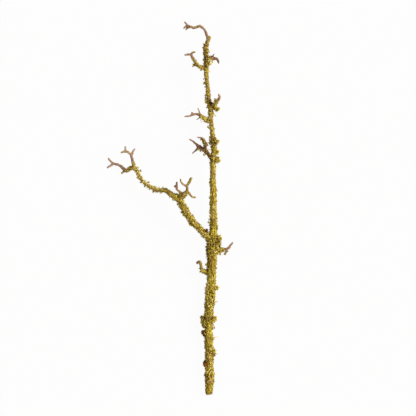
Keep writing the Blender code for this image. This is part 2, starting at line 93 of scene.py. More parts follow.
SIDE_BRANCH = (
    (56.7, -44.0, 12.4, 4.6, 1, 0.5), (51.2, -38.6, 13.5, 4.6, 1, 0.7), (45.6, -33.4, 15.0, 4.6, 1, 0.7),
    (37.6, -26.0, 18.0, 4.6, 1, 0.7), (30.9, -18.8, 20.5, 4.7, 1, 0.75), (24.3, -9.7, 23.0, 4.8, 1, 0.8),
    (19.3, -1.1, 25.0, 4.4, 1, 0.8), (14.9, 7.7, 26.5, 4.4, 1, 0.95), (10.4, 13.4, 27.5, 4.1, 0.9, 0.9),
    (3.5, 17.2, 28.0, 3.8, 1, 0.75), (-2.3, 21.6, 27.5, 3.7, 1, 0.65), (-7.9, 23.9, 26.5, 3.4, 0.9, 0.6),
    (-13.1, 23.7, 25.0, 3.0, 0.9, 0.65), (-18.5, 24.5, 23.0, 2.8, 0.9, 0.7),
    (-24.5, 27.1, 21.0, 2.8, 0.9, 0.85), (-31.4, 31.6, 18.5, 2.8, 0.9, 0.85),
    (-37.5, 37.0, 16.0, 2.7, 0.9, 0.85), (-41.9, 43.1, 14.0, 2.7, 0.9, 0.85),
    (-44.7, 49.5, 12.5, 2.8, 0.9, 0.8), (-49.3, 54.2, 11.5, 3.1, 0.9, 0.6),
    (-53.9, 52.9, 10.3, 3.0, 0.8, 0.6), (-58.5, 50.6, 8.5, 2.7, 0.5, 0.35),
    (-61.6, 51.7, 7.3, 2.4, 0.2, 0.1), (-64.8, 55.1, 6.0, 2.1, 0.3, 0.1), (-70.3, 58.5, 4.5, 1.8, 0.1, 0),
    (-77.3, 60.4, 2.8, 1.7, 0, 0), (-80.8, 63.8, 2.2, 1.5, 0, 0), (-84.2, 67.6, 1.6, 1.2, 0, 0),
)
STEM_STUB = (
    (50.3, 221.0, 22.6, 2.6, 1, 0.3), (52.1, 226.4, 22.9, 2.6, 1, 0.15), (53.8, 230.6, 23.2, 2.0, 1, 0.1),
)
LEADER_LOW_PRONG = (
    (27.2, 242.7, 22.8, 1.5, 0.2, 0), (23.5, 241.3, 20.5, 1.4, 0.4, 0), (21.0, 238.5, 19.5, 1.1, 0.3, 0),
)
LEADER_MID_PRONG = (
    (25.1, 243.8, 22.2, 1.4, 0, 0), (21.0, 243.2, 20.5, 1.1, 0, 0), (18.1, 240.2, 19.5, 0.9, 0, 0),
)
LEFT_TIP_PRONG = (
    (-76.0, 60.1, 3.0, 1.6, 0, 0), (-81.2, 57.0, 1.9, 1.5, 0, 0), (-85.7, 54.1, 1.4, 1.2, 0, 0),
)
LEFT_TIP_STUB = (
    (-60.6, 51.0, 7.6, 1.7, 0.5, 0.2), (-63.5, 48.4, 6.9, 1.5, 0.8, 0.3), (-66.1, 46.1, 6.4, 1.2, 1, 0.3),
)
TIP_UP = (
    (-48.3, 52.5, 11.7, 2.5, 0.9, 0.6), (-49.3, 58.9, 14.0, 2.4, 0.6, 0.4),
    (-50.6, 64.6, 18.0, 1.9, 0.25, 0.05), (-51.7, 70.5, 21.5, 1.8, 0.25, 0),
    (-55.1, 74.1, 23.5, 1.6, 0.4, 0), (-59.7, 75.6, 25.0, 1.6, 0.45, 0), (-65.9, 73.9, 26.5, 1.2, 0.35, 0),
)
TIP_UP_RIGHT_PRONG = (
    (-51.3, 69.4, 21.0, 1.6, 0, 0), (-49.9, 74.9, 23.0, 1.4, 0, 0), (-46.2, 79.8, 24.0, 1.1, 0, 0),
)
TIP_UP_MID_PRONG = (
    (-58.6, 75.7, 24.7, 1.4, 0, 0), (-59.4, 78.9, 26.3, 1.2, 0, 0), (-59.6, 82.8, 28.0, 1.0, 0, 0),
)
ANTLER = (
    (13.6, 9.9, 26.0, 3.3, 1, 0.9), (15.8, 14.3, 28.6, 3.2, 1, 0.95), (19.1, 19.2, 32.0, 2.8, 0.9, 0.9),
    (22.8, 21.4, 34.0, 2.3, 0.6, 0.3), (23.3, 25.4, 37.0, 1.7, 0.4, 0.05), (23.6, 29.7, 39.0, 1.7, 0.4, 0),
    (26.0, 34.1, 40.5, 1.9, 0.8, 0.15), (29.0, 40.4, 42.0, 2.3, 1, 0.4),
)
ANTLER_LEFT_PRONG = (
    (18.5, 18.4, 31.5, 2.4, 0.9, 0.6), (13.5, 21.3, 34.0, 1.7, 0.5, 0.2), (9.6, 25.0, 35.5, 1.5, 0.1, 0),
    (9.6, 29.1, 36.5, 1.5, 0, 0), (9.4, 35.1, 38.0, 1.3, 0, 0),
)
ANTLER_LEFT_BUMP = ((10.2, 28.2, 36.4, 1.6, 0, 0), (5.7, 29.3, 36.6, 1.8, 0, 0))
ANTLER_MID_PRONG = (
    (23.2, 29.0, 38.7, 1.5, 0.3, 0), (19.3, 30.6, 40.0, 1.3, 0.4, 0), (15.7, 33.8, 41.5, 1.2, 0.5, 0),
    (14.3, 39.0, 42.5, 0.9, 0.5, 0),
)
ANTLER_LOW_PRONG = (
    (21.5, 21.1, 33.6, 2.0, 0.7, 0.4), (25.2, 20.1, 34.0, 1.8, 0.5, 0.2), (27.7, 16.9, 33.0, 1.6, 0.4, 0.1),
    (30.7, 14.5, 32.0, 1.4, 0.45, 0.05), (34.9, 14.4, 31.5, 1.2, 0.5, 0),
)
CROTCH_BUD = (
    (50.8, -36.0, 14.5, 2.0, 0.9, 0.4), (49.8, -31.4, 18.2, 1.9, 0.3, 0.1), (49.4, -28.3, 21.5, 1.5, 0, 0),
)
HOOK = (
    (55.4, -90.3, 9.6, 3.0, 1, 0.9), (50.1, -87.8, 10.2, 3.1, 1, 0.8), (46.9, -85.8, 11.0, 3.3, 1, 0.7),
    (43.5, -84.1, 12.2, 2.9, 0.8, 0.6), (41.9, -80.4, 13.7, 2.1, 0.6, 0.5),
    (41.3, -76.2, 15.5, 2.1, 0.55, 0.4), (40.4, -72.9, 17.0, 1.8, 0.5, 0.3),
    (38.6, -71.9, 17.8, 1.7, 0.2, 0), (35.6, -74.9, 18.0, 1.4, 0, 0),
)
RIGHT = (
    (58.6, -61.1, 12.2, 2.9, 1, 0.9), (63.5, -57.1, 10.6, 2.8, 1, 0.8), (68.6, -55.0, 8.5, 2.7, 0.5, 0.4),
    (74.1, -55.9, 6.0, 1.9, 0.2, 0.1), (78.6, -54.1, 4.0, 1.6, 0.1, 0), (80.9, -51.2, 2.9, 1.4, 0.1, 0),
    (85.1, -46.1, 1.5, 1.0, 0.1, 0),
)
FORKED = (
    (58.6, 63.9, 17.0, 2.9, 0.8, 0.9), (54.8, 68.5, 17.5, 3.0, 0.38, 0.6),
    (51.3, 72.3, 18.5, 2.9, 0.26, 0.4), (48.2, 75.7, 19.5, 3.0, 0.3, 0.3),
    (46.2, 78.1, 20.0, 2.8, 0.3, 0.3), (41.9, 80.1, 20.5, 2.5, 0.2, 0.2), (37.5, 83.6, 21.5, 1.9, 0.1, 0.1),
    (32.1, 88.4, 23.0, 1.4, 0, 0), (25.9, 92.3, 24.5, 0.9, 0, 0),
)
FORKED_LOW_PRONG = (
    (39.3, 82.6, 21.0, 1.8, 0.3, 0.3), (35.9, 78.5, 19.0, 1.4, 0.2, 0.1), (29.8, 73.2, 15.5, 0.8, 0.2, 0),
)
FORKED_UP_PRONG = (
    (48.4, 76.4, 19.6, 2.4, 0.25, 0.4), (47.3, 81.1, 23.0, 2.4, 0.2, 0.3),
    (47.4, 85.6, 26.0, 2.5, 0.25, 0.5), (46.2, 89.4, 29.0, 2.4, 0.25, 0.45),
    (43.7, 92.3, 31.0, 1.9, 0.2, 0.15), (40.7, 93.7, 32.0, 1.2, 0.1, 0), (36.1, 94.5, 32.5, 0.9, 0, 0),
)
LEFT = (
    (55.6, 113.5, 18.9, 2.8, 1, 0.8), (50.7, 117.2, 19.5, 2.8, 0.8, 0.75),
    (46.8, 119.7, 20.5, 2.9, 0.8, 0.75), (43.0, 122.4, 21.5, 2.7, 0.9, 0.8),
    (39.6, 124.9, 22.5, 2.1, 0.2, 0.2), (35.1, 125.6, 23.2, 1.6, 0, 0), (31.0, 125.1, 24.0, 1.5, 0, 0),
    (26.2, 123.1, 24.5, 1.2, 0, 0), (19.2, 122.5, 25.0, 0.8, 0, 0),
)
LEFT_UP_PRONG = (
    (40.1, 125.1, 22.4, 1.5, 0.1, 0), (39.4, 129.1, 24.5, 1.0, 0, 0), (37.3, 133.7, 26.5, 0.7, 0, 0),
)
LEFT_BUMP = ((31.5, 125.4, 23.8, 1.5, 0, 0), (29.9, 127.0, 24.1, 1.4, 0, 0), (29.2, 128.6, 24.3, 1.0, 0, 0))
LEFT_LOW_PRONG = (
    (41.2, 124.3, 22.2, 1.4, 0.8, 0.4), (39.3, 120.9, 20.5, 0.9, 0.8, 0.2),
    (35.5, 118.5, 19.0, 0.6, 0.6, 0),
)
UPPER_RIGHT = (
    (54.3, 132.0, 19.8, 2.9, 0.9, 0.9), (59.0, 135.9, 21.5, 2.9, 1, 0.95), (61.2, 140.4, 24.0, 2.8, 1, 0.9),
    (63.7, 143.6, 26.0, 2.5, 0.9, 0.8), (65.7, 145.7, 27.5, 1.9, 0.4, 0.3),
    (66.5, 148.1, 29.0, 1.6, 0.1, 0), (65.2, 152.5, 31.0, 1.1, 0, 0),
)
UPPER_RIGHT_STUB = (
    (62.0, 141.8, 25.0, 1.8, 1, 0.8), (61.2, 144.5, 27.0, 1.5, 0.9, 0.5), (59.7, 146.9, 28.0, 1.1, 0.3, 0),
)
TOP_LEFT = (
    (50.3, 186.3, 21.2, 2.8, 1, 0.8), (45.0, 187.8, 21.8, 2.7, 0.9, 0.7),
    (41.7, 188.6, 22.2, 2.5, 0.9, 0.55), (37.9, 190.5, 23.0, 2.6, 0.9, 0.5),
    (35.2, 193.9, 24.0, 2.3, 0.8, 0.45), (31.8, 198.6, 26.0, 2.1, 0.3, 0.3),
    (29.8, 202.0, 27.5, 1.7, 0.1, 0), (28.1, 205.2, 28.5, 1.6, 0, 0), (24.1, 204.9, 29.0, 1.4, 0, 0),
    (19.4, 204.3, 29.2, 1.1, 0, 0),
)
TOP_LEFT_UP_PRONG = (
    (28.4, 204.1, 28.2, 1.4, 0, 0), (30.3, 207.2, 29.5, 1.4, 0.4, 0.2), (34.3, 208.3, 30.5, 1.1, 0.8, 0.3),
)
TOP_LEFT_LOW_PRONG = (
    (35.8, 192.8, 23.6, 1.8, 0.9, 0.6), (32.8, 191.4, 23.0, 1.6, 0.8, 0.5),
    (29.9, 189.0, 22.0, 0.9, 0.5, 0),
)
TOP_RIGHT = (
    (48.1, 196.2, 21.6, 2.6, 0.6, 0.9), (52.4, 200.3, 20.0, 2.6, 0.5, 0.8),
    (55.8, 202.3, 17.5, 2.3, 0.2, 0.3), (59.3, 201.2, 13.5, 2.0, 0, 0.05), (62.9, 200.8, 9.5, 1.8, 0, 0),
    (64.8, 198.5, 5.0, 1.5, 0, 0), (65.6, 195.2, 1.1, 0.8, 0, 0),
)
TOP_RIGHT_PRONG = (
    (56.7, 202.0, 16.8, 1.5, 0.2, 0.1), (57.8, 203.9, 19.0, 1.2, 0, 0), (59.5, 206.7, 21.0, 0.9, 0, 0),
)

# Where lichen stands proud of a route: how far along, how proud (plus to the right of the way ahead, minus
# to the left) and half its length, in millimetres
STEM_TUFTS = (
    (18.8, 0.7, 2.7), (28.2, 1.8, 2.7), (43.7, 1.0, 1.7), (69.5, -1.2, 3.0), (75.3, 2.6, 2.4),
    (89.4, 1.8, 2.4), (127.7, -0.9, 1.7), (174.0, -1.5, 2.0), (181.4, -0.6, 2.0), (181.4, 1.5, 3.0),
    (192.2, -1.8, 1.3), (208.0, -0.9, 1.2), (236.5, 0.7, 1.3), (247.3, -0.9, 2.0), (259.4, -1.0, 2.0),
    (262.8, 0.8, 2.4), (269.5, 0.6, 1.7), (286.0, -1.6, 3.0), (291.0, -1.2, 2.4), (308.4, 1.2, 3.0),
    (311.8, -1.1, 1.7), (325.9, 1.5, 3.2), (347.4, -1.3, 1.7), (388.4, -1.2, 1.7), (395.8, -1.7, 1.2),
    (399.8, -1.4, 1.2), (403.9, -1.3, 1.4), (404.5, 0.8, 2.0), (409.9, 0.8, 1.3), (420.7, -1.6, 2.0),
    (452.9, -0.9, 1.3), (458.3, -0.9, 1.3), (463.0, 1.1, 2.4), (471.1, -1.6, 1.7), (474.5, -1.2, 1.5),
)
SIDE_TUFTS = (
    (6.0, -1.2, 2.8), (31.6, 0.7, 2.7), (37.0, -1.8, 1.7), (40.3, 1.2, 2.7), (51.7, -1.5, 2.4),
    (55.8, 0.7, 1.7), (68.5, -2.0, 2.4), (80.0, -1.8, 2.7), (98.8, 1.5, 1.2), (101.8, -1.6, 1.2),
    (104.5, 1.2, 1.0), (107.5, -1.4, 1.2), (109.9, 2.1, 1.3), (111.8, -2.1, 1.0), (114.0, 1.2, 1.0),
    (117.0, -1.6, 1.3), (120.5, -1.2, 1.0), (123.6, 2.0, 1.3), (124.7, -1.7, 1.3), (128.5, 1.2, 1.0),
    (132.2, -1.6, 1.3), (136.7, 1.6, 1.2), (139.5, -1.8, 1.3),
)
# Small clumps that sit by themselves, by tone: place and radius in millimetres
YELLOW_CLUMPS = (
    (52.6, -185.2, 12.1, 1.6), (54.7, -141.8, 13.3, 1.4), (51.7, -211.4, 11.3, 1.3),
    (53.5, -216.6, 11.2, 1.4), (54.3, -239.0, 10.6, 1.5), (49.6, -75.9, 13.0, 2.0),
    (68.6, -55.2, 10.8, 1.6), (65.2, -106.8, 11.8, 1.3), (57.1, -116.1, 14.6, 1.4),
    (61.6, -69.5, 14.3, 1.2), (66.9, -37.7, 12.6, 1.8), (68.6, -41.2, 12.5, 1.6), (50.1, -42.2, 15.9, 1.4),
    (61.0, -62.6, 13.8, 1.2), (61.4, 123.1, 20.8, 0.9), (65.3, 133.6, 21.9, 1.9), (63.4, 130.9, 21.2, 1.5),
    (39.5, 78.0, 20.6, 1.5), (43.5, 88.4, 29.5, 1.3), (41.1, 90.6, 31.2, 1.1), (46.7, 71.8, 19.0, 1.8),
    (65.2, 89.8, 18.6, 1.7), (64.0, 75.9, 17.6, 2.3), (64.6, 67.1, 17.4, 2.0), (51.9, 108.4, 18.7, 1.5),
    (29.4, 127.3, 24.1, 1.1), (49.6, 218.8, 24.7, 1.2), (51.6, 211.7, 22.2, 1.2), (52.0, 198.2, 22.3, 1.2),
    (57.0, 195.4, 21.0, 1.1), (32.4, 199.8, 27.5, 1.2), (31.5, 193.0, 23.0, 1.2), (45.6, 172.9, 21.3, 1.1),
    (48.4, 152.8, 20.5, 1.1), (48.1, 143.7, 20.2, 1.3), (53.3, 158.9, 20.7, 1.0), (46.2, 168.1, 21.2, 1.0),
    (30.0, 198.8, 26.8, 1.2), (34.8, 196.4, 26.2, 1.1), (38.0, 193.6, 24.4, 1.1),
)
PINK_CLUMPS = (
    (58.5, -194.2, 9.4, 1.6), (47.0, -169.0, 11.6, 1.6), (64.5, -57.3, 13.2, 1.3), (62.5, -47.7, 15.4, 1.4),
    (63.5, -107.0, 12.4, 1.5), (50.7, -35.4, 17.6, 1.8), (47.9, 215.4, 24.9, 1.2), (51.7, -90.8, 14.0, 1.3),
    (50.4, -149.4, 16.0, 1.2), (52.6, -177.0, 12.3, 1.1), (56.9, -174.6, 10.2, 1.0),
    (54.3, -232.1, 11.4, 1.6), (50.9, -233.8, 11.1, 1.3), (63.6, -53.4, 12.6, 1.0),
    (48.0, 219.4, 25.4, 1.0), (49.0, 224.4, 25.0, 0.9), (52.2, -226.8, 12.0, 1.2),
    (54.6, -222.0, 11.8, 1.1), (48.6, 206.4, 24.8, 1.1), (47.6, 198.0, 24.6, 1.0),
)
OLIVE_CLUMPS = (
    (42.6, -147.2, 8.6, 2.0), (43.8, -150.4, 10.0, 2.4), (44.0, -154.4, 9.4, 2.5), (45.2, -158.4, 9.4, 2.3),
    (47.2, -153.4, 13.6, 2.2), (47.4, -158.0, 13.0, 1.9), (45.2, -147.4, 13.0, 2.2),
    (49.4, -146.8, 15.8, 2.2), (53.6, -146.8, 16.2, 2.1), (57.4, -147.0, 14.8, 2.3),
    (60.4, -147.8, 11.6, 2.2), (61.4, -149.4, 8.6, 2.0), (59.4, -151.8, 9.8, 2.1), (46.4, -160.4, 9.4, 1.8),
    (66.0, -52.0, 11.0, 2.2), (66.4, -58.0, 9.6, 2.4), (71.3, -57.3, 8.4, 2.1), (75.4, -58.4, 5.7, 2.0),
    (70.6, -57.2, 8.0, 2.2), (67.0, -61.8, 8.6, 1.8), (74.0, -61.2, 6.1, 2.1), (78.0, -57.6, 4.9, 1.5),
    (66.6, -60.2, 10.1, 1.9), (63.4, -60.6, 11.6, 2.0), (44.9, -154.7, 7.4, 2.1), (45.6, -160.8, 7.6, 1.6),
    (61.6, -76.0, 12.0, 1.5), (62.2, -81.0, 11.6, 1.5), (52.7, -19.2, 14.0, 1.8), (52.8, -15.2, 14.4, 1.3),
    (65.8, 63.6, 17.8, 2.2), (63.4, 60.6, 16.8, 1.6), (41.7, 121.6, 23.6, 1.5), (45.9, 118.4, 22.6, 1.4),
    (39.6, 188.0, 23.6, 1.5), (35.0, 191.6, 24.4, 1.4), (46.4, 88.7, 31.4, 1.5), (47.7, 83.6, 27.6, 1.5),
    (44.9, 91.7, 32.8, 1.2), (39.4, 78.7, 22.0, 1.4), (41.5, 76.9, 20.6, 1.6), (35.1, 197.7, 25.6, 1.3),
    (33.0, 195.5, 26.6, 1.2), (39.3, 188.8, 25.2, 1.5), (42.5, 185.9, 24.0, 1.6), (41.7, 185.0, 23.2, 1.5),
    (37.0, 191.9, 25.8, 1.3), (44.1, 190.1, 24.4, 1.4), (9.0, 17.9, 28.6, 1.9), (13.8, 17.6, 29.9, 2.2),
    (17.6, 18.8, 33.0, 2.2), (19.7, 14.7, 29.9, 2.0), (11.7, 14.4, 30.2, 1.8), (21.7, 17.4, 31.8, 1.9),
    (43.0, -84.4, 14.4, 1.9), (46.6, -86.4, 13.4, 2.0), (49.8, -84.4, 11.2, 1.8), (-39.9, 50.0, 13.4, 1.7),
    (-43.4, 54.0, 12.6, 1.6), (-47.9, 58.4, 13.6, 1.6),
)
# Dark clumps: partly dark lichen and partly painted shade, most on the left sides away from the key light,
# under spurs and in crotches
DARK_AND_SHADE_CLUMPS = (
    (51.0, -39.6, 12.4, 1.7), (50.2, -43.9, 12.0, 1.7), (50.6, -47.9, 12.2, 1.7), (49.9, -52.0, 12.0, 1.7),
    (49.9, -56.0, 12.0, 1.6), (49.6, -58.8, 12.0, 1.5), (50.5, -62.0, 12.2, 1.6), (46.7, 168.0, 21.0, 1.3),
    (47.4, 162.4, 20.8, 1.2), (48.2, 148.4, 20.4, 1.3), (48.4, 144.2, 20.2, 1.3), (49.0, 140.8, 20.2, 1.2),
    (45.2, 214.8, 22.4, 1.3), (45.6, 211.4, 22.2, 1.2), (45.2, 206.8, 22.2, 1.1), (45.8, 198.2, 22.0, 1.4),
    (45.8, 193.8, 21.8, 1.3), (52.0, 208.8, 22.4, 1.2), (56.2, 199.6, 19.0, 1.4), (57.3, 198.2, 18.8, 1.2),
    (52.8, 68.9, 18.4, 1.4), (53.8, 85.9, 18.8, 1.3), (53.6, 91.0, 18.8, 1.3), (46.0, 79.2, 22.0, 1.2),
    (44.3, 76.2, 20.4, 1.1), (45.4, 83.6, 25.6, 1.1), (49.3, 86.8, 27.0, 1.1), (44.8, 90.0, 30.6, 1.1),
    (39.8, 83.4, 21.4, 1.2), (50.0, 83.4, 25.4, 1.3), (44.7, 86.6, 27.4, 1.3), (44.6, 81.2, 23.2, 1.1),
    (36.5, 82.0, 21.0, 1.0), (50.1, 115.3, 19.4, 1.0), (10.5, 5.3, 26.3, 1.2), (15.9, -5.4, 24.5, 1.2),
    (18.7, -9.2, 23.7, 1.2), (30.0, -9.0, 22.4, 1.2), (53.7, 143.3, 22.4, 1.6), (55.8, 140.0, 21.8, 1.7),
    (53.1, 137.9, 22.6, 1.5), (56.4, 136.0, 21.8, 1.5), (51.7, 134.4, 21.8, 1.4), (57.8, 91.1, 21.0, 1.6),
    (55.8, 87.8, 20.0, 1.5), (59.1, 86.4, 24.0, 1.3), (44.9, -167.2, 10.6, 2.1), (46.2, -171.0, 10.4, 1.8),
    (40.1, -80.8, 14.6, 1.2), (41.0, -85.4, 13.0, 1.3), (53.2, 61.0, 17.6, 0.8), (44.6, -166.4, 9.4, 1.5),
    (43.4, -165.0, 9.0, 0.9),
)
# Smooth patches of the upper side, where few lobes grow: the middle and the half sizes across and along,
# in millimetres
SMOOTH = (
    (53.2, -164.0, 4.6, 10.5), (52.6, -245.0, 5.0, 6.0), (56.2, -73.0, 5.0, 8.0), (58.4, 20.0, 4.0, 12.0),
    (57.0, 111.0, 3.0, 7.0),
)
# Paler and darker stretches: the middle and the half sizes across and along in millimetres, and how much
# paler
SHADES = (
    (56.0, -74.0, 9.0, 10.0, -0.1), (57.0, -99.0, 9.0, 13.0, 0.12), (58.0, -50.0, 14.0, 13.0, -0.09),
    (57.0, -14.0, 9.0, 22.0, 0.08), (-30.0, 36.0, 28.0, 26.0, 0.1), (50.0, 200.0, 9.0, 20.0, 0.06),
    (52.0, -236.0, 9.0, 8.0, -0.06), (58.0, 86.0, 7.0, 7.0, -0.12), (53.5, -165.0, 5.0, 9.0, 0.1),
    (45.4, -167.6, 3.6, 5.4, -0.28), (53.4, 229.0, 3.4, 6.0, -0.26), (66.0, -56.0, 6.0, 6.0, -0.1),
    (63.6, -106.8, 4.0, 4.6, 0.2), (16.6, 8.6, 7.0, 7.0, -0.13),
)
# Gaps in the cover of the upper side, sunk as hollows and painted near-black as shade: place across and
# along, and radius, in millimetres
GAPS = (
    (56.6, -119.2, 1.2), (62.8, -42.1, 1.2), (51.3, -79.1, 1.1), (55.1, -225.5, 1.1), (54.4, 142.7, 0.9),
    (54.4, 137.8, 1.2), (55.8, 133.8, 0.9), (50.8, 137.0, 0.7), (48.7, 210.7, 0.8), (48.1, 200.9, 1.1),
    (48.8, 195.4, 0.9), (48.1, 189.3, 1.1), (45.4, 182.8, 0.8), (48.5, 164.4, 0.7), (49.5, 144.2, 0.8),
    (47.7, 219.8, 0.8), (58.4, 91.1, 1.4), (59.8, 87.1, 1.3), (55.8, 87.2, 1.1), (51.1, 71.1, 1.2),
    (61.8, -54.3, 0.9), (18.1, 2.7, 0.8), (50.0, 118.6, 0.9), (53.9, -30.5, 1.1), (50.7, -46.0, 0.8),
    (51.1, -57.8, 1.1), (53.9, -60.7, 0.8), (52.3, -67.9, 1.1), (48.8, -113.7, 1.1), (48.1, -122.1, 1.0),
    (59.7, -101.4, 0.8), (51.7, -140.4, 0.9), (43.6, -148.6, 1.1), (47.4, -149.4, 0.9), (51.4, -149.9, 0.9),
    (55.6, -150.4, 0.8), (59.8, -145.6, 0.9), (45.3, -168.5, 1.1), (46.5, -182.6, 0.9), (32.9, 191.9, 0.7),
    (11.7, 16.0, 1.3), (43.0, -84.5, 0.8), (54.6, 139.6, 1.9), (56.6, 136.4, 1.6), (53.0, 140.6, 1.3),
    (51.0, 134.2, 1.1), (57.4, 131.6, 0.9), (52.6, 131.0, 0.8),
)
# Spikes and strands of lichen that stand off the twig: their points and their radius, in millimetres
STRANDS = (
    (((56.3, -173.8, 7.8), (61.2, -174.2, 8.2), (65.1, -173.9, 8.4)), 0.3),
    (((58.8, -128.1, 9.4), (62.3, -126.6, 9.7), (64.4, -125.5, 10.0)), 0.45),
    (((43.0, 121.9, 22.1), (41.2, 117.2, 22.4), (43.2, 114.8, 22.7)), 0.35),
    (((53.6, 111.6, 18.8), (50.0, 108.7, 19.1), (54.0, 105.8, 19.4)), 0.5),
    (((49.1, 78.8, 22.5), (52.8, 78.3, 22.8), (56.6, 76.4, 19.6)), 0.35),
    (((52.4, 198.0, 22.0), (56.7, 196.6, 21.0), (57.0, 193.8, 21.0), (51.7, 190.8, 22.0)), 0.6),
    (((56.7, -153.5, 10.7), (58.7, -157.5, 11.0), (60.1, -162.6, 11.3)), 0.7),
    (((57.8, -147.7, 8.6), (60.5, -148.5, 8.9), (63.2, -149.0, 9.2)), 0.6),
    (((45.7, -148.9, 8.6), (43.7, -146.9, 8.9), (42.3, -143.9, 9.2)), 0.6),
    (((57.0, 127.4, 20.3), (59.9, 125.2, 20.6), (61.5, 123.0, 20.9)), 0.5),
    (((47.1, 219.5, 23.8), (44.9, 221.1, 24.1), (42.9, 220.7, 24.4)), 0.35),
    (((48.9, 168.7, 22.5), (46.4, 167.9, 22.3), (43.8, 166.8, 22.6)), 0.4),
    (((31.0, -17.4, 22.9), (28.7, -21.9, 22.2), (25.9, -24.1, 22.5)), 0.6),
)


class Growth(Enum):
    """The forms that the lichen grows in."""

    LOBE = "lobe"
    BRANCHLET = "branchlet"
    GRANULE = "granule"


class Noise(IntEnum):
    """The soft noises that several things share, each by the seed that tells it from the others."""

    CREASES = 11
    WRINKLES = 12
    HEAPS = 13
    KNOBS = 14
    STREAKS = 15
    BROAD_TONE = 21
    FINE_TONE = 22
    PATCHES = 23
    CHANCE_GAPS = 31


# --- Colour and nodes ------------------------------------------------------------

# The numbers of a Mix node's two colour inputs and of its colour output
MIX_A, MIX_B, MIXED = 6, 7, 2
# What the lichen's finish reads at each vertex
LICHEN_NUMBERS = ("tone", "rise", "blush")


def linear(hex_colour: str) -> tuple[float, float, float, float]:
    """Turn an sRGB hex colour into a linear one, by the curve of the sRGB standard.

    Args:
        hex_colour: Six hex digits.

    Returns:
        Linear red, green, blue and an alpha of 1.
    """
    channels = [int(hex_colour[i:i + 2], 16) / 255 for i in (0, 2, 4)]
    red, green, blue = [c / 12.92 if c <= 0.04045 else ((c + 0.055) / 1.055) ** 2.4 for c in channels]
    return red, green, blue, 1.0


def add_node(tree: Tree, kind: str, inputs: dict | None = None, **settings: object) -> Node:
    """Add one node, with its settings, its fixed values and its links.

    Args:
        tree: The material's node tree.
        kind: The node's type name, without its ShaderNode.
        inputs: Socket name or number to a value, or to the output socket that feeds it.
        **settings: The node's own properties.

    Returns:
        The new node.
    """
    node = tree.nodes.new("ShaderNode" + kind)
    for name, value in settings.items():
        setattr(node, name, value)
    for key, value in (inputs or {}).items():
        if isinstance(value, Socket):
            tree.links.new(value, node.inputs[key])
        else:
            node.inputs[key].default_value = value
    return node


def set_stops(ramp: Node, stops: tuple[tuple[float, str], ...]) -> None:
    """Give a colour ramp its stops.

    Args:
        ramp: The colour ramp node.
        stops: Position and sRGB hex colour of each stop, in order.
    """
    elements = ramp.color_ramp.elements
    while len(elements) < len(stops):
        elements.new(1.0)
    for element, (place, hex_colour) in zip(elements, stops):
        element.position = place
        element.color = linear(hex_colour)


def new_material(name: str, roughness: float, specular: float) -> tuple[Material, Tree, Node]:
    """Start a material with its Principled surface.

    Args:
        name: The material's name.
        roughness: The surface's roughness, the same all over.
        specular: The surface's specular level.

    Returns:
        The material, its node tree and its Principled node.
    """
    material = bpy.data.materials.new(name)
    material.use_nodes = True
    tree = material.node_tree
    surface = tree.nodes["Principled BSDF"]
    surface.inputs["Roughness"].default_value = roughness
    surface.inputs["Specular IOR Level"].default_value = specular
    return material, tree, surface


def sum_of(tree: Tree, operation: str, *values: object) -> Socket:
    """Add one sum of numbers.

    Args:
        tree: The material's node tree.
        operation: What kind of sum.
        *values: Its numbers, or the output sockets that feed them.

    Returns:
        The socket of the result.
    """
    return add_node(tree, "Math", dict(enumerate(values)), operation=operation).outputs[0]


def blend(tree: Tree, share: object, first: object, second: object) -> Socket:
    """Mix two colours.

    Args:
        tree: The material's node tree.
        share: The socket that gives the second colour's share.
        first: A colour or its socket.
        second: A colour or its socket.

    Returns:
        The socket of the mixed colour.
    """
    mix = add_node(tree, "Mix", {"Factor": share, MIX_A: first, MIX_B: second}, data_type="RGBA")
    return mix.outputs[MIXED]


def clouds(tree: Tree, place: Socket, size_mm: float, detail: float) -> Node:
    """Add a cloudy texture.

    Args:
        tree: The material's node tree.
        place: The socket of the place it is read at.
        size_mm: The clouds' size in millimetres.
        detail: How many finer layers of clouds they hold.

    Returns:
        The texture node.
    """
    return add_node(tree, "TexNoise", {"Vector": place, "Scale": 1 / (size_mm * MM), "Detail": detail})


def own_numbers(tree: Tree, *names: str) -> list[Socket]:
    """The sockets of a mesh's own numbers, by name."""
    return [add_node(tree, "Attribute", attribute_name=name).outputs["Fac"] for name in names]


def dress(tree: Tree, surface: Node, colour: Socket,
          height: Socket, strength: float, depth_mm: float) -> None:
    """Give a surface its colour and its fine bumps.

    Args:
        tree: The material's node tree.
        surface: The Principled node.
        colour: The socket of the colour.
        height: The socket of the bumps' height.
        strength: How strong the bumps are.
        depth_mm: How deep they are in millimetres.
    """
    bump = add_node(tree, "Bump", {"Height": height, "Strength": strength, "Distance": depth_mm * MM})
    tree.links.new(colour, surface.inputs["Base Color"])
    tree.links.new(bump.outputs["Normal"], surface.inputs["Normal"])


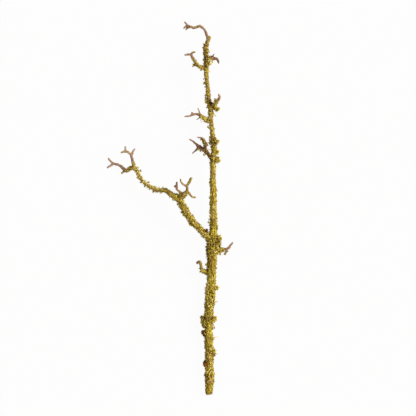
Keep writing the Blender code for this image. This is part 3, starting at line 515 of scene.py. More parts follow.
@dataclass(frozen=True)
class LichenFinish:
    """Dry yellow-green lichen: matt, grainy, dark brown with painted shade at its roots, palest along its
    edges.

    The tone attribute, different from lobe to lobe, picks the colour; the rise attribute runs from 0 at
    the root to 1 at the edge and lightens it; the blush attribute turns some edges pinkish cream. The
    dark root colour is partly the lichen's own darker base and partly painted shade where it meets the
    bark, on the lobes' undersides and under the granules.
    """

    name: str = "dry_lichen"
    tones: tuple[tuple[float, str], ...] = (
        (0.0, "604220"), (0.2, "8b6c2a"), (0.42, "b09a32"), (0.64, "cdba44"), (0.84, "e2d45c"),
        (1.0, "f0e88a"),
    )
    # Dark brown at the roots: partly the lichen's darker base, partly painted shade
    root: str = "4a3412"
    blush: str = "d8b08e"
    root_reach: float = 0.5
    grain_mm: float = 0.45
    grain_tone: float = 0.36
    bump: float = 0.4
    bump_mm: float = 0.15

    def material(self) -> Material:
        """Make the material: the tone's colour, flushed where it blushes, over brown roots with painted
        shade.

        Returns:
            The material.
        """
        material, tree, surface = new_material(self.name, roughness=1.0, specular=0.08)
        tone, rise, blush = own_numbers(tree, *LICHEN_NUMBERS)
        place = add_node(tree, "TexCoord").outputs["Object"]
        grain = clouds(tree, place, self.grain_mm, 2.0).outputs["Fac"]
        wobble = sum_of(tree, "MULTIPLY_ADD", grain, self.grain_tone, -self.grain_tone / 2)
        varied = sum_of(tree, "ADD", tone, wobble)
        ramp = add_node(tree, "ValToRGB", {"Fac": varied})
        set_stops(ramp, self.tones)
        flushed = blend(tree, blush, ramp.outputs["Color"], linear(self.blush))
        # Painted shade at the roots: the root colour fades out as the rise climbs from root to edge
        height = add_node(tree, "MapRange", {"Value": rise, "From Max": self.root_reach})
        colour = blend(tree, height.outputs["Result"], linear(self.root), flushed)
        dress(tree, surface, colour, grain, self.bump, self.bump_mm)
        return material


@dataclass(frozen=True)
class BarkFinish:
    """Twig bark, dry and slightly silky where it is young, under a cracked crust of lichen in patches.

    The crust attribute says how far the crust covers the bark, the youth attribute runs from 0 on old
    brown bark to 1 on the youngest pinkish tips, the worn attribute turns the crust on thin wood and in
    patches to a dull beige, and the shade attribute makes it paler. The gap attribute carries painted
    shade: it mixes the bark towards near-black in the hollows and darkens it a little under bushy lichen.
    The crust's scales are cells about 2 mm across with cracks between them, drawn out along the twig.
    """

    name: str = "twig_bark"
    old: str = "4c3020"
    middle: str = "84624c"
    young: str = "ac8e78"
    # Near-black painted shade for the hollows and for the bark under bushy lichen
    hollow_shade: str = "180f06"
    worn: str = "a48c50"
    crack: str = "5a4016"
    crust_tones: tuple[tuple[float, str], ...] = (
        (0.0, "604220"), (0.25, "8e6f2a"), (0.5, "b09a32"), (0.75, "cdba44"), (1.0, "e2d660"))
    scale_mm: float = 2.0
    scale_bend_mm: float = 1.6
    scale_tone: float = 0.55
    patch_mm: float = 2.4
    grain_mm: float = 0.7
    grain_age: float = 0.6
    speckle: tuple[float, float] = (1.3, -0.43)
    worn_spread: float = 0.6
    drawn_out: float = 0.38
    crack_share: float = 0.16
    crust_edge: tuple[float, float] = (0.85, 1.0)
    bump: float = 0.6
    bump_mm: float = 0.3

    def material(self) -> Material:
        """Make the material: bare bark and crust, mixed where the crust's ragged edge runs.

        Returns:
            The material.
        """
        material, tree, surface = new_material(self.name, roughness=0.95, specular=0.12)
        crust, youth, gap, wear, shade = own_numbers(tree, "crust", "youth", "gap", "worn", "shade")
        place = add_node(tree, "TexCoord").outputs["Object"]
        flow = add_node(tree, "Attribute", attribute_name="flow").outputs["Vector"]
        drawn = add_node(tree, "VectorMath", {0: flow, 1: (1.0, 1.0, self.drawn_out)},
                         operation="MULTIPLY").outputs["Vector"]
        patches = clouds(tree, place, self.patch_mm, 3.0)
        grain = clouds(tree, drawn, self.grain_mm, 3.0).outputs["Fac"]
        aged = sum_of(tree, "MULTIPLY_ADD", grain, self.grain_age, -self.grain_age / 2)
        bare = add_node(tree, "ValToRGB", {"Fac": sum_of(tree, "ADD", youth, aged)})
        set_stops(bare, ((0.0, self.old), (0.5, self.middle), (1.0, self.young)))
        chance, other_chance, edge = self.scales(tree, drawn, patches.outputs["Color"])
        speckled = sum_of(tree, "MULTIPLY_ADD", grain, *self.speckle)
        tone = sum_of(tree, "MULTIPLY_ADD", chance, self.scale_tone, speckled)
        ramp = add_node(tree, "ValToRGB", {"Fac": sum_of(tree, "ADD", shade, tone)})
        set_stops(ramp, self.crust_tones)
        partly = sum_of(tree, "MULTIPLY_ADD", other_chance, self.worn_spread, 1 - self.worn_spread)
        share = sum_of(tree, "MULTIPLY", wear, partly)
        dulled = blend(tree, share, ramp.outputs["Color"], linear(self.worn))
        solid = add_node(tree, "MapRange", {"Value": edge, "From Max": self.crack_share}).outputs["Result"]
        lichen = blend(tree, solid, linear(self.crack), dulled)
        ragged = sum_of(tree, "ADD", crust, patches.outputs["Fac"])
        low, high = self.crust_edge
        cover = add_node(tree, "MapRange", {"Value": ragged, "From Min": low, "From Max": high})
        covered = blend(tree, cover.outputs["Result"], bare.outputs["Color"], lichen)
        # Painted shade: the hollows, and the bark under bushy lichen, are mixed towards near-black
        colour = blend(tree, gap, covered, linear(self.hollow_shade))
        relief = sum_of(tree, "MULTIPLY_ADD", solid, cover.outputs["Result"], grain)
        dress(tree, surface, colour, relief, self.bump, self.bump_mm)
        return material

    def scales(self, tree: Tree, drawn: Socket, bend: Socket) -> tuple[Socket, ...]:
        """Add the crust's scales: cells of a pattern whose places are bent by the patches.

        Args:
            tree: The material's node tree.
            drawn: The socket of the place, drawn out along the twig.
            bend: The socket that bends the place.

        Returns:
            The sockets of two chance numbers, each the same all over a scale, and of the way to its edge.
        """
        warped = add_node(tree, "VectorMath", {0: bend, 1: (self.scale_bend_mm * MM,) * 3, 2: drawn},
                          operation="MULTIPLY_ADD")
        cells = {"Vector": warped.outputs["Vector"], "Scale": 1 / (self.scale_mm * MM)}
        scales = add_node(tree, "TexVoronoi", cells)
        edges = add_node(tree, "TexVoronoi", cells, feature="DISTANCE_TO_EDGE")
        own = add_node(tree, "SeparateColor", {0: scales.outputs["Color"]})
        return own.outputs[0], own.outputs[1], edges.outputs["Distance"]


@dataclass(frozen=True)
class CutWoodFinish:
    """The sawn end of the twig: dry brownish wood, with growth rings round a dark pith."""

    name: str = "cut_wood"
    early: str = "b39a74"
    late: str = "856847"
    ring_mm: float = 0.9
    wave_share: float = 0.3
    middle: tuple[float, float] = (53.0, 5.8)
    bump: float = 0.3
    bump_mm: float = 0.1

    def material(self) -> Material:
        """Make the material, with rings round the cut's own middle.

        Returns:
            The material.
        """
        material, tree, surface = new_material(self.name, roughness=0.85, specular=0.25)
        across, up = self.middle
        centred = add_node(tree, "Mapping", {
            "Vector": add_node(tree, "TexCoord").outputs["Object"],
            "Location": (-across * MM, 0.0, -up * MM)})
        rings = add_node(tree, "TexWave", {
            "Vector": centred.outputs["Vector"], "Scale": self.wave_share / (self.ring_mm * MM),
            "Distortion": 1.2, "Detail": 2.0}, wave_type="RINGS", rings_direction="Y")
        ramp = add_node(tree, "ValToRGB", {"Fac": rings.outputs["Fac"]})
        set_stops(ramp, ((0.0, self.late), (1.0, self.early)))
        dress(tree, surface, ramp.outputs["Color"], rings.outputs["Fac"], self.bump, self.bump_mm)
        return material


@dataclass(frozen=True)
class BudFinish:
    """Bud scales: thin, orange-brown and slightly silky, nearly black towards the bud's tip."""

    name: str = "bud_scales"
    dark: str = "2a180c"
    light: str = "a8661e"
    cloud_mm: float = 1.6
    tip_mm: float = -205.2
    foot_mm: float = -213.0
    darkening: tuple[float, float] = (0.3, -0.35)
    bump: float = 0.4
    bump_mm: float = 0.2

    def material(self) -> Material:
        """Make the material: the colour darkens with the way along the bud, with clouds in it.

        Returns:
            The material.
        """
        material, tree, surface = new_material(self.name, roughness=0.7, specular=0.15)
        place = add_node(tree, "TexCoord").outputs["Object"]
        cloud = clouds(tree, place, self.cloud_mm, 3.0).outputs["Fac"]
        way = add_node(tree, "SeparateXYZ", {0: place})
        shade = add_node(tree, "MapRange", {
            "Value": way.outputs["Y"], "From Min": self.foot_mm * MM, "From Max": self.tip_mm * MM,
            "To Min": self.darkening[0], "To Max": self.darkening[1]})
        ramp = add_node(tree, "ValToRGB", {"Fac": sum_of(tree, "ADD", cloud, shade.outputs["Result"])})
        set_stops(ramp, ((0.3, self.dark), (0.85, self.light)))
        dress(tree, surface, ramp.outputs["Color"], cloud, self.bump, self.bump_mm)
        return material


# --- Shape -----------------------------------------------------------------------


def unit(vectors: Array) -> Array:
    """Scale each row to length 1."""
    return vectors / np.maximum(np.linalg.norm(vectors, axis=-1, keepdims=True), 1e-12)


def turned(sides: int) -> Array:
    """The angles in radians of some corners spaced evenly round a full turn."""
    return np.linspace(0, FULL_TURN, sides, endpoint=False)


def smooth_step(values: Array, low: float, high: float) -> Array:
    """Rise from 0 at low to 1 at high, as 3 squares less 2 cubes of the way between."""
    way = np.clip((values - low) / (high - low), 0, 1)
    return way ** 2 * (3 - 2 * way)


def thinness(reach: Array) -> Array:
    """How thin the wood is, from 0 on the stem to 1 on the tips, by its radius in metres."""
    return smooth_step(-reach, -STOUT, -SLENDER)


def soft_noise(points: Array, size: float, seed: int, waves: int = 24) -> Array:
    """A smooth random height at each point: the sum of plane waves of random heading and phase.

    Args:
        points: Places, one row each, in metres.
        size: The waves' typical length, in metres.
        seed: Which noise, one of the shared ones or a piece's own.
        waves: How many waves are summed.

    Returns:
        Heights of about 0 on average and 1 in spread.
    """
    rng = np.random.default_rng(seed)
    ways = unit(rng.normal(size=(waves, 3)))
    headings = ways * (FULL_TURN / (size * rng.uniform(0.7, 1.6, size=(waves, 1))))
    phases = rng.uniform(0, FULL_TURN, size=waves)
    return np.sin(points @ headings.T + phases).sum(axis=-1) / math.sqrt(waves / 2)


def gap_at(points: Array, above: Array, margin: float = 0.0) -> Array:
    """How far each place lies in a hollow between the lichen: chosen ones on the upper side, and chance ones.

    Args:
        points: Places in metres.
        above: Whether each is on the twig's upper side.
        margin: How much wider the chosen hollows are taken, in metres.

    Returns:
        0 outside a hollow to 1 inside it.
    """
    chance = smooth_step(soft_noise(points, 4.2 * MM, Noise.CHANCE_GAPS), 1.75, 2.05)
    gaps = np.array(GAPS) * MM
    away = np.linalg.norm(points[:, None, :2] - gaps[None, :, :2], axis=-1) / (gaps[None, :, 2] + margin)
    chosen = np.where(above, 1 - smooth_step(away.min(axis=1), 0.75, 1.2), 0)
    return np.maximum(chance, chosen)


def shade_at(points: Array) -> Array:
    """How much paler the lichen is at each place, from the chosen stretches.

    Args:
        points: Places in metres.

    Returns:
        The changes of tone.
    """
    table = np.array(SHADES)
    away = np.linalg.norm((points[:, None, :2] / MM - table[None, :, :2]) / table[None, :, 2:4], axis=-1)
    return ((1 - smooth_step(away, 0.5, 1.3)) * table[:, 4]).sum(axis=1)


def smooth_at(points: Array, above: Array) -> Array:
    """How far each place lies in a smooth patch of the upper side, from 0 outside to 1.

    Args:
        points: Places in metres.
        above: Whether each is on the twig's upper side.

    Returns:
        The shares.
    """
    table = np.array(SMOOTH) * MM
    away = np.linalg.norm((points[:, None, :2] - table[None, :, :2]) / table[None, :, 2:], axis=-1)
    return np.where(above, 1 - smooth_step(away.min(axis=1), 0.7, 1.1), 0)


def stacked_triangles(rings: int, sides: int) -> Array:
    """Triangles of a stack of rings closed by a pole at each end.

    The vertices run: first pole, the rings in order, last pole.

    Args:
        rings: How many rings.
        sides: How many corners a ring has.

    Returns:
        Vertex numbers, three to a row.
    """
    corner = np.arange(sides)
    following = (corner + 1) % sides
    last = 1 + (rings - 1) * sides
    start = np.stack([np.zeros(sides, int), 1 + corner, 1 + following], axis=1)
    end = np.stack([np.full(sides, rings * sides + 1), last + following, last + corner], axis=1)
    base = 1 + sides * np.arange(rings - 1)[:, None]
    a, b = base + corner, base + following
    c, d = b + sides, a + sides
    walls = np.concatenate([np.stack([a, c, b], axis=-1), np.stack([a, d, c], axis=-1)], axis=0)
    return np.concatenate([start, walls.reshape(-1, 3), end])


def facing_out(points: Array, triangles: Array) -> Array:
    """Turn a closed shape's triangles round if they enclose a negative volume.

    Args:
        points: The shape's corners.
        triangles: Its triangles.

    Returns:
        The triangles, facing outwards.
    """
    a, b, c = (points[triangles[:, i]] for i in range(3))
    volume = np.einsum("ij,ij->i", a - points.mean(axis=0), np.cross(b - a, c - a)).sum()
    return triangles if volume > 0 else triangles[:, ::-1]


def joined(parts: list[tuple[Array, Array]]) -> tuple[Array, Array]:
    """Put several shapes' vertices and triangles in one list each."""
    offsets = np.cumsum([0] + [len(points) for points, _ in parts[:-1]])
    return (np.concatenate([points for points, _ in parts]),
            np.concatenate([triangles + offset for (_, triangles), offset in zip(parts, offsets)]))


def make_piece(name: str, points: Array, triangles: Array, attributes: dict[str, Array],
               material: Material) -> bpy.types.Object:
    """Put arrays into a smooth-shaded mesh object at the origin.

    Args:
        name: The object's name.
        points: Vertices in metres.
        triangles: Vertex numbers, three to a row.
        attributes: A number or three for each vertex, by name.
        material: The finish.

    Returns:
        The new object, linked to the scene.
    """
    mesh = bpy.data.meshes.new(name)
    mesh.vertices.add(len(points))
    mesh.vertices.foreach_set("co", np.ascontiguousarray(points, dtype=np.float32).ravel())
    mesh.loops.add(triangles.size)
    mesh.loops.foreach_set("vertex_index", np.ascontiguousarray(triangles, dtype=np.int32).ravel())
    mesh.polygons.add(len(triangles))
    mesh.polygons.foreach_set("loop_start", np.arange(0, triangles.size, 3, dtype=np.int32))
    mesh.polygons.foreach_set("use_smooth", np.ones(len(triangles), dtype=bool))
    for key, values in attributes.items():
        kind, socket = ("FLOAT_VECTOR", "vector") if values.ndim == 2 else ("FLOAT", "value")
        layer = mesh.attributes.new(key, kind, "POINT")
        layer.data.foreach_set(socket, np.ascontiguousarray(values, dtype=np.float32).ravel())
    mesh.update(calc_edges=True)
    mesh.materials.append(material)
    piece = bpy.data.objects.new(name, mesh)
    bpy.context.collection.objects.link(piece)
    return piece


def lay_on_table(points: Array) -> Array:
    """Press whatever would hang below the table flat onto it, with a slight unevenness.

    The unevenness is a sine wave across times a sine wave along.

    Args:
        points: Vertices in metres.

    Returns:
        The vertices, none of them below the resting height.
    """
    laid = points.copy()
    across, along = (np.sin(points[:, i] * RESTING_WAVES[i]) for i in range(2))
    uneven = 0.5 + 0.5 * across * along
    floor = RESTING_HEIGHT * (1 + uneven)
    low = laid[:, 2] < floor
    laid[low, 2] = floor[low]
    return laid


@dataclass
class Stations:
    """Places along a route: the middle, the radii, the cover and three directions, a row for each."""

    middle: Array
    reach: Array
    crust: Array
    bush: Array
    along: Array
    across: Array
    up: Array


@dataclass
class Seats:
    """Where lichen sits, a row for each seat: its place, the way out and the way along, and how it grows.

    The numbers are how large, how pale and how worn it grows there.
    """

    point: Array
    out: Array
    along: Array
    size: Array
    pale: Array
    worn: Array

    def chosen(self, keep: Array) -> "Seats":
        """The seats that a mask or a list of numbers picks."""
        return Seats(*(getattr(self, own.name)[keep] for own in fields(self)))


@dataclass
class Route:
    """A smooth line through given points, with the tufts that stand proud beside it.

    Crust depth and deepest are how far the bark lies within the lichen's tips, in metres and as a share
    of the radius. Paleness is how much paler the lichen grows on its thinner wood, and tuft girth is how
    wide a tuft is for its height.
    """

    points: tuple[Point, ...]
    tufts: tuple[tuple[float, float, float], ...] = ()
    crust_depth: float = 0.8 * MM
    deepest: float = 0.18
    paleness: float = 0.0
    tuft_girth: float = 0.75
    samples: int = 24
    fine_step: float = 0.25 * MM
    rows: Array = field(init=False)
    distance: Array = field(init=False)

    def __post_init__(self) -> None:
        """Work out the fine rows that everything else reads: a cubic through the points, evenly spaced."""
        rows = np.array(self.points, dtype=float)
        rows[:, :4] *= MM
        rows = np.concatenate([[2 * rows[0] - rows[1]], rows, [2 * rows[-1] - rows[-2]]])
        t = np.linspace(0, 1, self.samples, endpoint=False)[None, :, None]
        before, start, end, after = (rows[i:len(rows) - 3 + i, None, :] for i in range(4))
        curve = 0.5 * (2 * start + (end - before) * t + (2 * before - 5 * start + 4 * end - after) * t ** 2
                       + (3 * start - before - 3 * end + after) * t ** 3)
        curve = np.concatenate([curve.reshape(-1, rows.shape[1]), rows[-2:-1]])
        travelled = np.concatenate([[0], np.cumsum(np.linalg.norm(np.diff(curve[:, :3], axis=0), axis=1))])
        self.distance = np.linspace(0, travelled[-1], int(travelled[-1] / self.fine_step) + 2)
        self.rows = np.stack([np.interp(self.distance, travelled, column) for column in curve.T], axis=1)

    @property
    def length(self) -> float:
        """The route's length in metres."""
        return float(self.distance[-1])

    def at(self, distance: Array) -> Stations:
        """Read the route at some distances along it.

        Args:
            distance: Metres from the start, in any order.

        Returns:
            The stations there. Across is level and to the right of the way ahead, up is square to both.
        """
        table = np.stack([np.interp(distance, self.distance, column) for column in self.rows.T], axis=1)
        headings = np.gradient(self.rows[:, :3], self.distance, axis=0)
        along = unit(np.stack([np.interp(distance, self.distance, column) for column in headings.T], axis=1))
        across = unit(np.cross(along, [0.0, 0.0, 1.0]))
        up = np.cross(across, along)
        crust, bush = np.clip(table[:, 4:6].T, 0, 1)
        return Stations(table[:, :3], table[:, 3], crust, bush, along, across, up)

    def bark(self, distance: Array, angle: Array) -> tuple[Array, Array, Array, Stations]:
        """Points on the crusted bark: a circle round the route, less the lichen's depth, plus its relief.

        The relief is heaps of crust a few millimetres long with creases between them, where the size of a
        soft noise nears 0, finer creases drawn out along the twig, hollows at the gaps, and wrinkles on
        bare wood.

        Args:
            distance: Metres from the start.
            angle: Radians round the twig from its level right side, upwards.

        Returns:
            The points, the directions straight out from the route, how heaped the crust is from 0 to 1, and
            the stations.
        """
        stations = self.at(distance)
        out = stations.across * np.cos(angle)[:, None] + stations.up * np.sin(angle)[:, None]
        lying = stations.middle + out * stations.reach[:, None]
        above = out[:, 2] > 0
        heaped = smooth_step(soft_noise(lying, 5.2 * MM, Noise.HEAPS), -0.6, 1.5)
        crease = np.exp(-np.abs(soft_noise(lying, 4.6 * MM, Noise.CREASES)) / 0.22)
        gap = gap_at(lying, above)
        depth = np.minimum(self.crust_depth * stations.bush, self.deepest * stations.reach)
        limit = np.minimum(1.25 * MM, 0.22 * stations.reach)
        round_way = np.stack([np.cos(angle), np.sin(angle)]) * stations.reach
        drawn = np.stack([*round_way, distance * 0.35], axis=1)
        streak = np.exp(-np.abs(soft_noise(drawn, 1.9 * MM, Noise.STREAKS)) / 0.35)
        smooth = smooth_at(lying, above)
        crusted = limit * stations.crust * (1 - 0.7 * smooth) * (
            0.9 * stations.bush * (heaped - 0.35) - 0.5 * crease - 0.4 * (streak - 0.5) - 0.6 * gap)
        knobs = (0.05 + 0.06 * thinness(stations.reach)) * soft_noise(lying, 4 * MM, Noise.KNOBS)
        wrinkles = 0.05 * soft_noise(drawn, 1.6 * MM, Noise.WRINKLES)
        radius = stations.reach - depth + crusted + stations.reach * (wrinkles + knobs)
        return stations.middle + out * radius[:, None], out, heaped, stations

    def mounds(self, start: float, end: float) -> Array:
        """The tufts on one stretch as mounds.

        Each faces sideways, tilted up or down by a cosine of its place along the route, and is sunk so
        that it stands about as far out of the lichen as its number says.

        Args:
            start: Where the stretch starts, in metres.
            end: Where it ends.

        Returns:
            For each mound its middle, its way out and its radius, seven numbers in metres.
        """
        tufts = np.array([t for t in self.tufts if start <= t[0] * MM < end]).reshape(-1, 3)
        stations = self.at(tufts[:, 0] * MM)
        proud, half_length = np.abs(tufts[:, 1]) * MM, tufts[:, 2] * MM
        out = unit(stations.across * np.sign(tufts[:, 1:2]) + stations.up * 0.35 * np.cos(tufts[:, :1] * 2.4))
        radius = np.maximum(self.tuft_girth * proud + 0.5 * MM, 0.62 * half_length)
        middle = stations.middle + out * (stations.reach + proud - 1.15 * radius)[:, None]
        return np.concatenate([middle, out, radius[:, None]], axis=1)


def mounds_at(clumps: tuple[tuple[float, float, float, float], ...], routes: list[Route]) -> Array:
    """Mounds at chosen places, each facing away from the nearest route.

    Args:
        clumps: Their places and radii, in millimetres.
        routes: The wood that they may sit on.

    Returns:
        For each mound its middle, its way out and its radius, seven numbers in metres.
    """
    table = np.array(clumps) * MM
    rows = np.concatenate([route.rows[::COARSE, :3] for route in routes])
    nearest = rows[np.linalg.norm(table[:, None, :3] - rows[None], axis=-1).argmin(axis=1)]
    return np.concatenate([table[:, :3], unit(table[:, :3] - nearest), table[:, 3:]], axis=1)


def tube(route: Route, start: float, end: float, step: float, sides: int,
         round_start: bool, round_end: bool) -> tuple[Array, Array]:
    """The bark along one stretch of a route, as rings closed by a pole at each end.

    A rounded end's rings shrink as a quarter circle, as the sine and cosine of one angle.

    Args:
        route: The route.
        start: Where the stretch starts, in metres.
        end: Where it ends.
        step: Distance between rings.
        sides: Corners in a ring.
        round_start: Whether the start is a rounded tip.
        round_end: Whether the end is a rounded tip.

    Returns:
        Vertices and triangles.
    """
    quarter = np.radians([14, 32, 52, 72])
    tips = route.at(np.array([start, end])).reach
    first = start + (tips[0] if round_start else 0.0)
    last = end - (tips[1] if round_end else 0.0)
    body = np.linspace(first, last, max(3, int((last - first) / step)))
    shrink = np.ones(len(body))
    if round_start:
        body = np.concatenate([first - tips[0] * np.cos(quarter), body])
        shrink = np.concatenate([np.sin(quarter), shrink])
    if round_end:
        body = np.concatenate([body, last + tips[1] * np.cos(quarter[::-1])])
        shrink = np.concatenate([shrink, np.sin(quarter[::-1])])
    points, _, _, stations = route.bark(np.repeat(body, sides), np.tile(turned(sides), len(body)))
    points = stations.middle + (points - stations.middle) * np.repeat(shrink, sides)[:, None]
    poles = route.at(np.array([start, end])).middle
    points = np.concatenate([poles[:1], points, poles[1:]])
    return points, facing_out(points, stacked_triangles(len(body), sides))


def fuse(name: str, parts: list[tuple[Array, Array]], voxel: float) -> tuple[Array, Array]:
    """Melt overlapping tubes into one skin: a voxel remesh, smoothed a little.

    Args:
        name: A name for the working object.
        parts: Vertices and triangles of each tube.
        voxel: The remesh's cell size in metres.

    Returns:
        Vertices and triangles of the skin.
    """
    working = make_piece(name, *joined(parts), {}, bpy.data.materials.new("working"))
    remesh = working.modifiers.new("melt", "REMESH")
    remesh.mode = "VOXEL"
    remesh.voxel_size = voxel
    smooth = working.modifiers.new("soften", "SMOOTH")
    smooth.factor = 0.5
    smooth.iterations = 2
    skin = working.evaluated_get(bpy.context.evaluated_depsgraph_get()).to_mesh()
    skin.calc_loop_triangles()
    melted = np.empty(len(skin.vertices) * 3, dtype=np.float32)
    skin.vertices.foreach_get("co", melted)
    faces = np.empty(len(skin.loop_triangles) * 3, dtype=np.int32)
    skin.loop_triangles.foreach_get("vertices", faces)
    working.to_mesh_clear()
    bpy.data.objects.remove(working, do_unlink=True)
    return melted.reshape(-1, 3).astype(float), faces.reshape(-1, 3)


# --- Lichen ----------------------------------------------------------------------


@dataclass(frozen=True)
class Habit:
    """How one form of lichen grows: how closely, how large, how steeply and how nearly along the twig.

    Width is a share of the length, and tone is its middle and its spread. Heads is how many share a seat,
    splay is how they lean apart, and blush is the chance of turning pinkish.
    """

    form: Growth
    per_mm2: float
    length_mm: tuple[float, float]
    width_share: tuple[float, float]
    lift_deg: tuple[float, float]
    tone: tuple[float, float]
    heads: int = 1
    splay_deg: float = 0.0
    blush: float = 0.0
    along_deg: float = 180.0


LEAFY = Habit(Growth.LOBE, 0.8, (2.4, 4.6), (0.22, 0.42), (2, 28), (0.55, 0.24), blush=0.17, along_deg=28)
SPIKY = Habit(Growth.BRANCHLET, 0.14, (1.8, 3.4), (0.2, 0.32), (15, 65), (0.46, 0.22), 2, 28, along_deg=50)
GRAINY = Habit(Growth.GRANULE, 0.24, (0.8, 1.4), (0.8, 1.1), (0, 20), (0.55, 0.26))
TUFTY = Habit(Growth.LOBE, 1.6, (2.0, 3.6), (0.3, 0.56), (20, 80), (0.53, 0.26), blush=0.1)
SUNLIT = Habit(Growth.LOBE, 1.5, (2.2, 3.6), (0.45, 0.8), (10, 75), (0.78, 0.14))
BRISTLY = Habit(Growth.BRANCHLET, 0.4, (1.9, 3.5), (0.2, 0.32), (30, 88), (0.45, 0.22))
SPARSE = Habit(Growth.LOBE, 0.7, (2.0, 3.4), (0.3, 0.5), (25, 85), (0.5, 0.22), blush=0.25)
THORNY = Habit(Growth.BRANCHLET, 1.0, (3.4, 6.0), (0.24, 0.38), (35, 88), (0.46, 0.2), blush=0.2)
# The dark clumps' habits: their low tones are partly painted shade
DARK = Habit(Growth.BRANCHLET, 0.8, (3.2, 5.4), (0.26, 0.42), (25, 88), (0.24, 0.16))
DUSKY = Habit(Growth.LOBE, 1.5, (1.8, 3.2), (0.36, 0.62), (20, 80), (0.13, 0.14))
# A blush well above 1 leaves hardly a lobe that isn't pinkish
PINKISH = Habit(Growth.LOBE, 1.5, (2.0, 3.0), (0.6, 0.9), (15, 60), (0.6, 0.2), blush=5.0)
ON_BARK = (LEAFY, SPIKY, GRAINY)


def lobe_shapes(count: int, rng: np.random.Generator) -> tuple[Array, Array, Array]:
    """Ruffled lobes, each a lens with a wavy edge, cupped and curling up away from its root.

    The edge's distance from the middle is 1 plus two sine waves round it. The height grows with the
    square of the distance from the middle, with the way from the root, and with a wave round the edge.

    Args:
        count: How many.
        rng: The random source.

    Returns:
        Vertices (count, corners, 3) with the root at the origin, growing along x for a length of 1 and
        a width of 1; the rise from root to edge, (count, corners); and triangles of one lobe.
    """
    sides, radii = 7, np.array([0.5, 1.0])[:, None]
    angle = turned(sides)
    phase = rng.uniform(0, FULL_TURN, size=(4, count, 1, 1))
    edge = 1 + 0.22 * np.sin(2 * angle + phase[0]) + 0.16 * np.sin(3 * angle + phase[1])
    reach = radii * edge
    x, y = reach * np.cos(angle) * 0.5, reach * np.sin(angle) * 0.5
    root_way = x + 0.5
    cup = rng.uniform(-0.25, 0.55, size=(count, 1, 1))
    ruffle = rng.uniform(0.03, 0.12, size=(count, 1, 1)) * np.sin(3 * angle + phase[2]) * radii ** 2
    curl = rng.uniform(0.0, 0.4, size=(count, 1, 1)) * root_way ** 2
    z = cup * (x ** 2 + y ** 2) + ruffle + curl
    thick = np.array([0.0, -0.06])[:, None]
    ring_points = np.stack([x, y, z + thick], axis=-1).reshape(count, -1, 3)
    zero = np.zeros((count, 1, 1))
    mid_curl = curl.mean(axis=(1, 2))[:, None, None] * 0.7
    top = np.concatenate([zero, zero, mid_curl], axis=-1)
    under = np.concatenate([zero, zero, mid_curl - 0.2], axis=-1)
    points = np.concatenate([top, ring_points, under], axis=1)
    points[..., 0] += 0.42
    ring_rise = (np.clip(root_way, 0, 1) * np.array([0.85, 1.0])[:, None]).reshape(count, -1)
    # The under pole keeps most of the root colour: painted shade under the lobe
    top_rise, under_rise = np.full((count, 1), 0.55), np.full((count, 1), 0.1)
    rise = np.concatenate([top_rise, ring_rise, under_rise], axis=1)
    return points, rise, facing_out(points[0], stacked_triangles(2, sides))


def branchlet_shapes(count: int, rng: np.random.Generator) -> tuple[Array, Array, Array]:
    """Pointed branchlets: cones of five sides that bend with the square of the way along them.

    Args:
        count: How many.
        rng: The random source.

    Returns:
        Vertices growing along x for a length of 1, the rise, and triangles of one branchlet.
    """
    sides = 5
    way = np.array([0.0, 0.42, 0.82])[:, None]
    girth = np.array([0.5, 0.42, 0.22])[:, None]
    angle = turned(sides)
    swell = 1 + 0.25 * np.sin(way * 9 + rng.uniform(0, 6, size=(count, 1, 1)))
    bend = rng.normal(0, 0.22, size=(2, count, 1, 1))
    y = girth * swell * np.cos(angle) + bend[0] * way ** 2 * 2
    z = girth * swell * np.sin(angle) + bend[1] * way ** 2 * 2
    x = np.broadcast_to(way, y.shape)
    rings = np.stack([x, y, z], axis=-1).reshape(count, -1, 3)
    tip = np.stack([np.ones(count), bend[0, :, 0, 0] * 2, bend[1, :, 0, 0] * 2], axis=-1)[:, None, :]
    root = np.zeros((count, 1, 3))
    points = np.concatenate([root, rings, tip], axis=1)
    # Root colour at the foot: partly painted shade where the branchlet meets the bark
    rise = np.concatenate([[0.0], np.repeat(way.ravel(), sides), [1.0]])[None, :].repeat(count, axis=0)
    return points, rise, facing_out(points[0], stacked_triangles(3, sides))


def granule_shapes(count: int, rng: np.random.Generator) -> tuple[Array, Array, Array]:
    """Round granules: squat balls of five sides with uneven rings.

    Args:
        count: How many.
        rng: The random source.

    Returns:
        Vertices standing along z for a height of about 0.8, the rise, and triangles of one granule.
    """
    sides = 5
    turn = np.array([0.25, -0.35])[:, None] * math.pi
    angle = turned(sides) + rng.uniform(0, 6, size=(count, 1, 1))
    girth = np.cos(turn) * 0.5 * rng.uniform(0.8, 1.2, size=(count, 1, sides))
    x, y = girth * np.cos(angle), girth * np.sin(angle)
    z = np.broadcast_to(np.sin(turn) * 0.4, x.shape)
    rings = np.stack([x, y, z], axis=-1).reshape(count, -1, 3)
    top = np.broadcast_to([0.0, 0.0, 0.42], (count, 1, 3))
    bottom = np.broadcast_to([0.0, 0.0, -0.45], (count, 1, 3))
    points = np.concatenate([top, rings, bottom], axis=1)
    # Pale at the top and root-coloured at the bottom: painted shade under the granule
    rise = np.concatenate([[1.0], np.repeat([0.85, 0.3], sides), [0.0]])[None, :].repeat(count, axis=0)
    return points, rise, facing_out(points[0], stacked_triangles(2, sides))


SHAPES = {Growth.LOBE: lobe_shapes, Growth.BRANCHLET: branchlet_shapes, Growth.GRANULE: granule_shapes}


